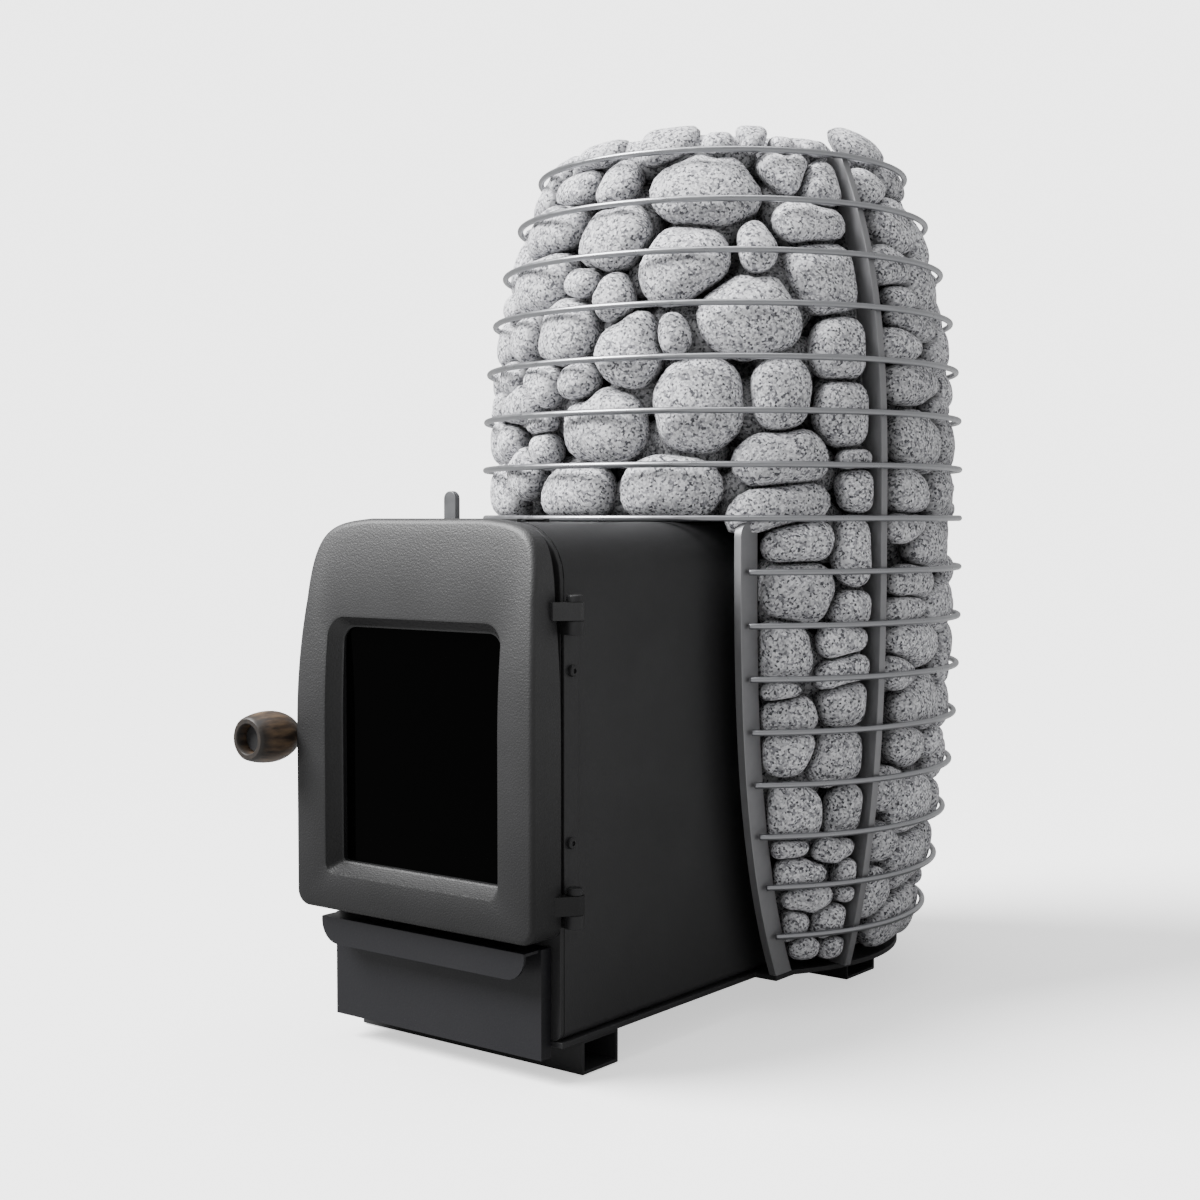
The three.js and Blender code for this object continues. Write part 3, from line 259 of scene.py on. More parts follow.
@dataclass(frozen=True)
class Granite(Finish):
    """Water-worn granite: crisp grains of pale feldspar, grey quartz and black mica, about 3 mm wide.

    Attributes:
        grain: Size of the grains in millimetres.
    """

    grain: float = 2.0

    def pattern(self, tree, place, shader):
        """A shade for each cell of a grain, cloudy patches, the tone of each stone with the painted light and shade
        laid on it, and a pitted skin.
        """
        cells = add(tree, "ShaderNodeTexVoronoi", {"Vector": place, "Scale": per_mm(self.grain)})
        shade = add(tree, "ShaderNodeSeparateColor", {"Color": cells.outputs["Color"]})
        grains = ramp(
            tree,
            shade.outputs["Red"],
            [(0.04, "#4e4e53"), (0.26, "#98989d"), (0.6, self.colour), (0.95, "#efeff2")],
        )
        clouds = add(tree, "ShaderNodeTexNoise", {"Vector": place, "Scale": per_mm(7.0), "Detail": 3.0})
        spread = {"From Min": 0.3, "From Max": 0.7, "To Min": 0.86, "To Max": 1.06}
        cloudy = add(tree, "ShaderNodeMapRange", {"Value": clouds.outputs["Fac"], **spread})
        # The stones' attribute holds each stone's own tone times painted shade in the joints and painted light on the
        # top band.
        tone = add(tree, "ShaderNodeAttribute", attribute_name="tone")
        light = {0: cloudy.outputs["Result"], 1: tone.outputs["Fac"]}
        value = add(tree, "ShaderNodeMath", light, operation="MULTIPLY")
        mixed = {"Vector": grains, "Scale": value.outputs["Value"]}
        colour = add(tree, "ShaderNodeVectorMath", mixed, operation="SCALE")
        tree.links.new(colour.outputs["Vector"], shader.inputs["Base Color"])
        bump(tree, shader, clouds.outputs["Fac"], 0.5)


@dataclass(frozen=True)
class HeatPaint(Finish):
    """Black heat-resistant spray paint on sheet steel: matt, with a faint orange peel.

    Attributes:
        peel: Size of the orange peel in millimetres.
    """

    peel: float = 2.0

    def pattern(self, tree, place, shader):
        """Uneven mattness in broad patches and the peel as a slight bump."""
        rough = roughen(tree, place, 90.0, self.roughness - 0.05, self.roughness + 0.06)
        tree.links.new(rough, shader.inputs["Roughness"])
        peel = add(tree, "ShaderNodeTexNoise", {"Vector": place, "Scale": per_mm(self.peel), "Detail": 1.0})
        bump(tree, shader, peel.outputs["Fac"], 0.08)


@dataclass(frozen=True)
class CastIron(Finish):
    """Sand-cast iron under thin black paint: grey-black with the sand's grain in its skin.

    Attributes:
        sand: Size of the sand grain in millimetres, drawn about twice as coarse so that it shows.
        shade_foot: Height of the door's foot, where painted shade darkens its colour and sheen most, in metres.
        unshaded_from: Height from which there is no painted shade, in metres.
    """

    sand: float = 1.6
    shade_foot: float = 0.13
    unshaded_from: float = 0.44

    def pattern(self, tree, place, shader):
        """Mottled grey in broad patches, painted shade that darkens it and its sheen towards the foot, and sand grain
        as a bump.
        """
        patches = add(tree, "ShaderNodeTexNoise", {"Vector": place, "Scale": per_mm(70.0), "Detail": 4.0})
        mottled = ramp(tree, patches.outputs["Fac"], [(0.3, "#1d1d1e"), (0.7, self.colour)])
        # Painted shade: the colour and the sheen grow darker towards the door's foot.
        height = add(tree, "ShaderNodeSeparateXYZ", {"Vector": place}).outputs["Z"]
        ends = {"From Min": self.shade_foot, "From Max": self.unshaded_from, "To Min": 0.48, "To Max": 1.0}
        dull = add(tree, "ShaderNodeMapRange", {"Value": height, **ends}).outputs["Result"]
        colour = add(tree, "ShaderNodeVectorMath", {"Vector": mottled, "Scale": dull}, operation="SCALE")
        tree.links.new(colour.outputs["Vector"], shader.inputs["Base Color"])
        shaded_sheen = add(tree, "ShaderNodeMath", {0: dull, 1: self.sheen}, operation="MULTIPLY")
        tree.links.new(shaded_sheen.outputs["Value"], shader.inputs["Specular IOR Level"])
        grain = add(tree, "ShaderNodeTexNoise", {"Vector": place, "Scale": per_mm(self.sand), "Detail": 2.0})
        bump(tree, shader, grain.outputs["Fac"], 0.35)


@dataclass(frozen=True)
class TurnedWood(Finish):
    """Turned ash wood, oiled and darkened by heat: brown with long grain and burnt ends.

    Attributes:
        ring: Width of a growth ring in millimetres.
        rear: Y of the knob's rear end in the part's frame, in metres.
        length: Length of the knob in metres.
    """

    ring: float = 5.0
    rear: float = 0.0
    length: float = 0.045

    def pattern(self, tree, place, shader):
        """Rings stretched along the turning axis, darkened towards both ends."""
        stretched = add(tree, "ShaderNodeMapping", {"Vector": place, "Scale": (1.0, 0.18, 1.0)})
        grain = add(
            tree,
            "ShaderNodeTexNoise",
            {"Vector": stretched.outputs["Vector"], "Scale": per_mm(self.ring), "Detail": 4.0},
        )
        colour = ramp(
            tree,
            grain.outputs["Fac"],
            [(0.32, "#1f1610"), (0.5, self.colour), (0.68, "#63503b")],
        )
        along = add(tree, "ShaderNodeSeparateXYZ", {"Vector": place})
        middle = add(
            tree,
            "ShaderNodeMath",
            {0: along.outputs["Y"], 1: self.rear - self.length / 2},
            operation="SUBTRACT",
        )
        away = add(tree, "ShaderNodeMath", {0: middle.outputs["Value"]}, operation="ABSOLUTE")
        burnt = add(
            tree,
            "ShaderNodeMapRange",
            {
                "Value": away.outputs["Value"],
                "From Min": 0.28 * self.length,
                "From Max": 0.46 * self.length,
                "To Min": 0.0,
                "To Max": 0.9,
            },
        )
        mixed = add(tree, "ShaderNodeMixRGB", {"Fac": burnt.outputs["Result"], "Color1": colour, "Color2": linear("#15110e")})
        tree.links.new(mixed.outputs["Color"], shader.inputs["Base Color"])
        bump(tree, shader, grain.outputs["Fac"], 0.4)


@dataclass(frozen=True)
class RopeSeal(Finish):
    """Braided glass-fibre rope: grey and fuzzy, with a braid of 3 mm."""

    def pattern(self, tree, place, shader):
        """Braid as a bump."""
        braid = add(tree, "ShaderNodeTexWave", {"Vector": place, "Scale": per_mm(20.0), "Distortion": 3.0})
        bump(tree, shader, braid.outputs["Fac"], 0.6)


@dataclass(frozen=True)
class PaleFloor(Finish):
    """Plain studio floor: pale where the camera sees it, duller where it lights the stove.

    Attributes:
        bounce: Colour that it throws back at the stove.
    """

    bounce: str = "#8c8c8c"

    def pattern(self, tree, place, shader):
        """Chooses between the two colours by the kind of ray."""
        path = add(tree, "ShaderNodeLightPath")
        shades = {"Fac": path.outputs["Is Camera Ray"], "Color1": linear(self.bounce), "Color2": linear(self.colour)}
        mixed = add(tree, "ShaderNodeMixRGB", shades)
        tree.links.new(mixed.outputs["Color"], shader.inputs["Base Color"])
        shader.inputs["Emission Color"].default_value = linear(self.colour)
        tree.links.new(path.outputs["Is Camera Ray"], shader.inputs["Emission Strength"])


# Rods: satin grey with a bright line along the top
RING_STEEL = RoundBar("drawn_stainless_bar", "ring_steel", "#9c9da0", 0.32, 1.0)
# Ribs and front bars: darker and duller than the rods
RIB_STEEL = RoundBar("plain_flat_bar", "rib_steel", "#8a8a8c", 0.5, 0.7)
# Tab, pins and bolts: bare metal dulled by heat
BARE_STEEL = RoundBar("bare_dull_steel", "bare_steel", "#77787a", 0.45, 1.0)
# Stones: pepper-and-salt grey, matt
GRANITE = Granite("worn_granite", "granite", "#d2d2d5", 0.85)
# Firebox: matt black sheet that takes soft light
BLACK_SHEET = HeatPaint("black_heat_paint", "black_sheet", "#262627", 0.5, sheen=0.3)
# Drawer: the same paint, a little bluer and smoother
DRAWER_PAINT = HeatPaint("anthracite_paint", "drawer_paint", "#18181b", 0.42, sheen=0.3)
# Door: grey-black with the grain of a sand mould
CAST_IRON = CastIron("sand_cast_iron", "cast_iron", "#242425", 0.5, sheen=0.6)
# Window: pure black, glossy
DARK_GLASS = Finish("ceramic_glass", "dark_glass", "#010101", 0.05, sheen=0.02)
# Seal: grey fuzzy rope
ROPE = RopeSeal("sealing_rope", "rope", "#55534e", 0.95)
# Knob: brown wood with near-black ends
WOOD = TurnedWood("turned_ash", "turned_wood", "#4a3b2d", 0.5, rear=(AXIS_Y - 460.3) / 1000, length=0.055)


@dataclass
class Skin:
    """Points and faces of one closed surface.

    Attributes:
        points: Array of places in millimetres, one row each.
        faces: Lists of point numbers.
    """

    points: np.ndarray
    faces: list[list[int]]


def sheet_of(grid: np.ndarray, wrap_rows: bool = False) -> Skin:
    """Skin over a grid of points whose columns close on themselves.

    Faces point out when the columns run anticlockwise seen against the direction of the rows.

    Args:
        grid: Array of rows by columns by 3.
        wrap_rows: Whether the last row joins the first one.

    Returns:
        The skin; without wrap_rows its ends are closed by two flat faces.
    """
    rows, columns = grid.shape[:2]
    number = np.arange(rows * columns).reshape(rows, columns)
    here = number if wrap_rows else number[:-1]
    ahead = np.roll(number, -1, 0) if wrap_rows else number[1:]
    quads = np.stack([here, np.roll(here, -1, 1), np.roll(ahead, -1, 1), ahead], -1).reshape(-1, 4)
    faces = quads.tolist()
    if not wrap_rows:
        faces += [number[0][::-1].tolist(), number[-1].tolist()]
    return Skin(grid.reshape(-1, 3), faces)


def joined(skins: Sequence[Skin]) -> Skin:
    """Several skins as one, with their faces renumbered."""
    faces: list[list[int]] = []
    start = 0
    for skin in skins:
        faces += [[start + i for i in face] for face in skin.faces]
        start += len(skin.points)
    return Skin(np.concatenate([skin.points for skin in skins]), faces)


def to_part(points: np.ndarray) -> np.ndarray:
    """Millimetres from the cage's axis to metres in the part's frame."""
    return (points + np.array([0.0, AXIS_Y, 0.0])) / 1000.0


def dress(piece: bpy.types.Object, finish: Finish, body: Body, nodes: Sequence[str] = ()) -> bpy.types.Object:
    """Gives a piece its finish, the body it rides on and the nodes it stands for.

    Args:
        piece: Object at the origin.
        finish: What it is made of.
        body: Rigid group it moves with.
        nodes: Nodes that it replaces.

    Returns:
        The same object.
    """
    piece.data.materials.clear()
    piece.data.materials.append(finish.material())
    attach(piece, body.value)
    if nodes:
        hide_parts(*nodes)
    LOG.info("%s: %s", piece.name, finish.name)
    return piece


def soften(piece: bpy.types.Object, width: float, segments: int = 2) -> None:
    """Rounds a piece's sharp edges by a width in millimetres."""
    bevel = piece.modifiers.new("edge", "BEVEL")
    bevel.width = width / 1000.0
    bevel.segments = segments
    bevel.limit_method = "ANGLE"
    bevel.angle_limit = math.radians(32)
    bevel.harden_normals = True


def smooth(mesh: bpy.types.Mesh, angle: float = 32.0) -> None:
    """Shades a mesh smooth, with edges over an angle in degrees left sharp."""
    mesh.shade_smooth()
    mesh.set_sharp_from_angle(angle=math.radians(angle))


def piece_of(name: str, skin: Skin, angle: float = 32.0) -> bpy.types.Object:
    """Object made from a skin, in the part's frame, with doubles merged.

    Args:
        name: Object's name.
        skin: Closed surface in millimetres.
        angle: Edges sharper than this stay sharp.

    Returns:
        The object, linked to the scene.
    """
    mesh = bpy.data.meshes.new(name)
    mesh.from_pydata(to_part(skin.points).tolist(), [], skin.faces)
    work = bmesh.new()
    work.from_mesh(mesh)
    bmesh.ops.remove_doubles(work, verts=work.verts, dist=1e-6)
    bmesh.ops.dissolve_degenerate(work, dist=1e-7, edges=work.edges)
    bmesh.ops.recalc_face_normals(work, faces=work.faces)
    work.to_mesh(mesh)
    work.free()
    smooth(mesh, angle)
    piece = bpy.data.objects.new(name, mesh)
    bpy.context.scene.collection.objects.link(piece)
    return piece


def refined(frame: dict[str, Any], node: str, width: float, segments: int = 2) -> bpy.types.Object:
    """Copy of a solid with its flat faces merged and its edges rounded.

    Args:
        node: Name of the solid.
        width: Rounding of the edges in millimetres.
        segments: Steps of the rounding.

    Returns:
        The object, linked to the scene.
    """
    mesh = frame["nodes"][node].data.copy()
    work = bmesh.new()
    work.from_mesh(mesh)
    bmesh.ops.remove_doubles(work, verts=work.verts, dist=1e-6)
    bmesh.ops.dissolve_limit(work, angle_limit=math.radians(1.0), verts=work.verts, edges=work.edges)
    work.to_mesh(mesh)
    work.free()
    smooth(mesh)
    piece = bpy.data.objects.new(f"{node}_finished", mesh)
    bpy.context.scene.collection.objects.link(piece)
    soften(piece, width, segments)
    return piece


def barrel(z: np.ndarray | float) -> np.ndarray:
    """Outer radius of the rings at a height: the belly's, less a cube of the way up or down."""
    height = np.asarray(z, float)
    rise = np.clip((height - BELLY_HEIGHT) / (TOP_RING - BELLY_HEIGHT), 0, None)
    drop = np.clip((BELLY_HEIGHT - height) / (BELLY_HEIGHT - LOWEST_RING), 0, None)
    return BELLY_RADIUS - (BELLY_RADIUS - TOP_RADIUS) * rise**3 - (BELLY_RADIUS - BOTTOM_RADIUS) * drop**3


def at_bearing(bearing: np.ndarray, radius: np.ndarray | float, z: np.ndarray | float) -> np.ndarray:
    """Places from a bearing in degrees, counted from the front to the right, a radius and a height."""
    turn = np.radians(bearing)
    parts = np.broadcast_arrays(radius * np.sin(turn), -radius * np.cos(turn), z)
    return np.stack(parts, -1)


def rounded_bar(width: float, depth: float, edge: float, steps: int = 3) -> np.ndarray:
    """Outline of a flat bar with rounded edges: a quarter circle at each corner.

    Args:
        width: Size along the first axis.
        depth: Size along the second axis.
        edge: Radius of the edges.
        steps: Steps of each quarter circle.

    Returns:
        Points by 2, anticlockwise.
    """
    turn = np.linspace(0, np.pi / 2, steps + 1)
    corners = [
        (width / 2 - edge, depth / 2 - edge, 0.0),
        (edge - width / 2, depth / 2 - edge, np.pi / 2),
        (edge - width / 2, edge - depth / 2, np.pi),
        (width / 2 - edge, edge - depth / 2, 1.5 * np.pi),
    ]
    arcs = [
        np.stack([x + edge * np.cos(turn + start), y + edge * np.sin(turn + start)], -1) for x, y, start in corners
    ]
    return np.concatenate(arcs)


def turned(profile: np.ndarray, centre: Sequence[float], axis: str, sides: int = 40) -> Skin:
    """Skin of revolution: a closed profile of radius and place along the axis, carried round it.

    Args:
        profile: Points by 2, radius first.
        centre: A point on the axis.
        axis: "y" or "z" or "x".
        sides: Steps round the axis.

    Returns:
        The skin.
    """
    turn = np.linspace(0, 2 * np.pi, sides, endpoint=False)[:, None]
    radius, along = profile[:, 0][None], np.broadcast_to(profile[:, 1][None], (sides, len(profile)))
    first, second = radius * np.cos(turn), radius * np.sin(turn)
    order = {"z": (first, second, along), "y": (second, along, first), "x": (along, first, second)}[axis]
    return sheet_of(np.stack(order, -1) + np.asarray(centre, float), wrap_rows=True)


@dataclass
class Cage:
    """Barrel of rings on upright ribs, with two front bars where the lower rings end.

    Attributes:
        rod_sides: Facets round a bar.
        step: Degrees between sections of a ring.
        rib_thick: Thickness of a rib.
        rib_depth: Depth of a rib.
        rib_seat: Distance of a rib's outer edge inside the rings' outer radius.
        bar_width: Depth of a front bar.
        bar_proud: How far a front bar stands out of the barrel.
        bar_corner: Radius of its upper front corner.
        edge: Rounding of the flat bars' edges.
    """

    rod_sides: int = 16
    step: float = 2.0
    rib_thick: float = 8.0
    rib_depth: float = 25.0
    rib_seat: float = 6.7
    bar_width: float = 28.0
    bar_proud: float = 3.0
    bar_corner: float = 14.0
    edge: float = 1.0

    def ring(self, z: float, is_open: bool) -> Skin:
        """Torus, or an arc of it whose ends are drawn in a little, at the barrel's radius.

        Args:
            z: Height of the ring.
            is_open: Whether it ends on the front bars.

        Returns:
            The ring's skin.
        """
        rod = ROD / 2
        centre = float(barrel(z)) - rod
        start = math.degrees(math.asin((BAR_OUTER + GAP) / (centre - rod)))
        count = int(360 / self.step)
        bearing = np.linspace(start, 360 - start, count) if is_open else np.arange(count) * self.step
        scale = np.ones(count)
        if is_open:
            bearing = np.concatenate([bearing[:1], bearing[:1] + 0.12, bearing[1:-1], bearing[-1:] - 0.12, bearing[-1:]])
            scale = np.concatenate([[0.82, 1.0], np.ones(count - 2), [1.0, 0.82]])
        turn = np.linspace(0, 2 * np.pi, self.rod_sides, endpoint=False)
        radius = centre + rod * scale[:, None] * np.cos(turn)
        height = z + rod * scale[:, None] * np.sin(turn)
        return sheet_of(at_bearing(bearing[:, None], radius, height), wrap_rows=not is_open)

    def rib(self, bearing: float) -> Skin:
        """Flat bar whose outline is carried up the inside of the rings.

        Args:
            bearing: Degrees from the front.

        Returns:
            The rib's skin.
        """
        height = np.linspace(BASE_TOP + GAP, TOP_RING + ROD / 2, 90)
        outline = rounded_bar(self.rib_thick, self.rib_depth, self.edge)
        turn = math.radians(bearing)
        across = np.array([math.cos(turn), math.sin(turn)])
        outward = np.array([math.sin(turn), -math.cos(turn)])
        middle = barrel(height) - self.rib_seat - self.rib_depth / 2
        plan = outline[None, :, :1] * across + (middle[:, None, None] + outline[None, :, 1:]) * outward
        tall = np.broadcast_to(height[:, None, None], (*plan.shape[:2], 1))
        return sheet_of(np.concatenate([plan, tall], -1))

    def front_bar(self, side: Side) -> Skin:
        """Flat bar between the barrel's front and a parallel behind it, its top corner a quarter circle.

        Args:
            side: Which of the two bars.

        Returns:
            The bar's skin.
        """
        straight = np.linspace(BASE_TOP + GAP, ROOF - self.bar_corner, 60)
        turn = np.linspace(0, np.pi / 2, 12)[1:]
        height = np.concatenate([straight, ROOF - self.bar_corner * (1 - np.sin(turn))])
        back = np.concatenate([np.zeros(60), self.bar_corner * (1 - np.cos(turn))])
        front = -np.sqrt((barrel(height) + self.bar_proud) ** 2 - BAR_OUTER**2)
        outline = rounded_bar(1.0, 1.0, 0.05)
        thick = BAR_OUTER - BAR_INNER
        x = side.value * (BAR_INNER + BAR_OUTER) / 2 + outline[None, :, 0] * thick * np.ones((len(height), 1))
        near, far = (front + back)[:, None], (front + self.bar_width)[:, None]
        y = (near + far) / 2 + outline[None, :, 1] * (far - near)
        tall = np.broadcast_to(height[:, None], x.shape)
        return sheet_of(np.stack([x, y, tall], -1))

    def build(self) -> None:
        """Makes and dresses every bar of the cage."""
        for i in range(RING_COUNT):
            node = f"cage_ring_{RING_COUNT - i:02d}"
            skin = self.ring(LOWEST_RING + i * RING_PITCH, i < OPEN_RINGS)
            dress(piece_of(f"{node}_bar", skin, 60), RING_STEEL, Body.STOVE, [node])
        names = ("cage_rib_right", "cage_rib_rear_right", "cage_rib_rear_left", "cage_rib_left")
        for node, bearing in zip(names, RIB_BEARINGS):
            dress(piece_of(f"{node}_bar", self.rib(bearing)), RIB_STEEL, Body.STOVE, [node])
        for node, side in (("front_bar_right", Side.RIGHT), ("front_bar_left", Side.LEFT)):
            dress(piece_of(f"{node}_bar", self.front_bar(side)), RIB_STEEL, Body.STOVE, [node])


@dataclass(frozen=True)
class View:
    """How the camera looks at the stove.

    Attributes:
        lens: Focal length.
        sensor: Width of the sensor.
        place: Camera's place from the cage's axis.
        yaw: Degrees that the view is turned from +Y towards +X.
        pitch: Degrees above level.
        picture: Edge of the picture that the stones were read from, in pixels.
    """

    lens: float = 53.79
    sensor: float = 36.0
    place: tuple[float, float, float] = (1068.5, -1586.4, 476.5)
    yaw: float = -37.8
    pitch: float = -2.66
    picture: float = 1200.0

    @property
    def focal(self) -> float:
        """Focal length in pixels of the picture."""
        return self.lens / self.sensor * self.picture

    @property
    def ahead(self) -> np.ndarray:
        """Direction of the view."""
        yaw, pitch = math.radians(self.yaw), math.radians(self.pitch)
        return np.array([math.sin(yaw) * math.cos(pitch), math.cos(yaw) * math.cos(pitch), math.sin(pitch)])

    def rays(self, pixels: np.ndarray) -> np.ndarray:
        """Directions through points of the picture, each one unit deep along the view.

        Args:
            pixels: Points by 2, from the picture's top left corner.

        Returns:
            Points by 3.
        """
        yaw = math.radians(self.yaw)
        right = np.array([math.cos(yaw), -math.sin(yaw), 0.0])
        share = (pixels - self.picture / 2) / self.focal
        return self.ahead + share[:, :1] * right - share[:, 1:] * np.cross(right, self.ahead)


@dataclass(frozen=True)
class Pebble:
    """A stone at the front of the cage, read from the picture, in its pixels.

    Attributes:
        across: From the left edge to its middle.
        down: From the top edge to its middle.
        wide: Half of its width.
        tall: Half of its height.
        lean: Degrees it is turned clockwise.
    """

    across: float
    down: float
    wide: float
    tall: float
    lean: float = 0.0


SEEN_STONES = (
    Pebble(600, 158, 31, 16, -6), Pebble(668, 146, 36, 20, -12), Pebble(718, 144, 19, 13),
    Pebble(752, 141, 16, 17), Pebble(781, 148, 17, 12), Pebble(809, 150, 15, 10),
    Pebble(861, 154, 29, 23, 12), Pebble(552, 199, 30, 23, -15), Pebble(582, 187, 23, 17, -10),
    Pebble(623, 183, 22, 24), Pebble(708, 190, 66, 38, 2), Pebble(783, 168, 34, 27),
    Pebble(822, 186, 28, 26), Pebble(880, 176, 24, 18, 10), Pebble(556, 234, 40, 24, -8),
    Pebble(620, 241, 37, 34, -15), Pebble(755, 248, 19, 28), Pebble(685, 264, 55, 36, -3),
    Pebble(808, 222, 40, 20, -3), Pebble(820, 279, 44, 35), Pebble(888, 228, 22, 24),
    Pebble(915, 242, 20, 30, 10), Pebble(545, 283, 47, 27, -4), Pebble(615, 297, 21, 27),
    Pebble(912, 288, 34, 28, 6), Pebble(514, 345, 23, 24), Pebble(747, 315, 56, 41, 3),
    Pebble(570, 333, 33, 28), Pebble(632, 354, 34, 36), Pebble(674, 336, 18, 20),
    Pebble(838, 350, 34, 31), Pebble(898, 344, 22, 22, 20), Pebble(912, 326, 24, 13),
    Pebble(938, 350, 14, 19), Pebble(496, 384, 14, 20), Pebble(516, 379, 15, 14),
    Pebble(543, 387, 18, 21), Pebble(581, 384, 21, 19), Pebble(526, 404, 30, 15, -5),
    Pebble(606, 424, 46, 37, -3), Pebble(700, 404, 50, 44), Pebble(779, 396, 31, 37),
    Pebble(845, 416, 34, 35), Pebble(913, 382, 32, 21), Pebble(934, 410, 16, 12),
    Pebble(507, 442, 24, 21), Pebble(544, 424, 16, 10), Pebble(545, 450, 16, 18),
    Pebble(783, 461, 55, 30, -6), Pebble(852, 459, 19, 11), Pebble(916, 439, 34, 26),
    Pebble(513, 493, 27, 26), Pebble(582, 492, 37, 27), Pebble(670, 489, 57, 28, -3),
    Pebble(784, 506, 56, 26, -8), Pebble(858, 490, 22, 23), Pebble(906, 494, 20, 22),
    Pebble(936, 492, 22, 27), Pebble(798, 540, 42, 23, -4), Pebble(858, 551, 20, 37),
    Pebble(797, 591, 40, 29), Pebble(848, 611, 24, 22, -10), Pebble(843, 640, 33, 19, -10),
    Pebble(779, 656, 34, 34), Pebble(843, 672, 33, 18, -22), Pebble(846, 700, 30, 24),
    Pebble(780, 690, 23, 12), Pebble(787, 717, 28, 23), Pebble(788, 748, 29, 21),
    Pebble(841, 757, 34, 26, -10), Pebble(791, 815, 32, 26), Pebble(849, 810, 23, 28),
    Pebble(788, 849, 26, 10), Pebble(838, 850, 30, 14, -8), Pebble(795, 873, 41, 17),
    Pebble(845, 872, 14, 16), Pebble(808, 899, 30, 14), Pebble(850, 891, 13, 9),
    Pebble(791, 923, 18, 16), Pebble(828, 920, 22, 19), Pebble(804, 946, 15, 10),
    Pebble(832, 944, 15, 10), Pebble(906, 526, 20, 12, -8), Pebble(925, 546, 36, 22, -6),
    Pebble(912, 582, 30, 16, -8), Pebble(932, 606, 24, 20, -10), Pebble(904, 607, 20, 14),
    Pebble(912, 640, 28, 21), Pebble(944, 644, 15, 26), Pebble(914, 702, 34, 24, -4),
    Pebble(904, 742, 20, 18), Pebble(928, 752, 22, 22), Pebble(902, 805, 24, 25),
    Pebble(935, 800, 14, 22), Pebble(897, 856, 30, 24, -8), Pebble(930, 842, 18, 26),
    Pebble(889, 912, 23, 18, -15), Pebble(912, 905, 16, 20),
)


@dataclass(frozen=True)
class Layer:
    """One layer of stones behind the rings.

    Attributes:
        inset: Depth of its face behind the rings' inside.
        sizes: Half widths to try, in order.
        squeeze: How close two stones may come when they are laid; 1 is touching.
        around: Facets round a stone.
        across: Facets from its face to its back.
        shade: Brightness of its stones; below 1 it is painted shade, for a layer that lies in shadow behind another.
    """

    inset: float
    sizes: tuple[float, ...]
    squeeze: float
    around: int
    across: int
    shade: float


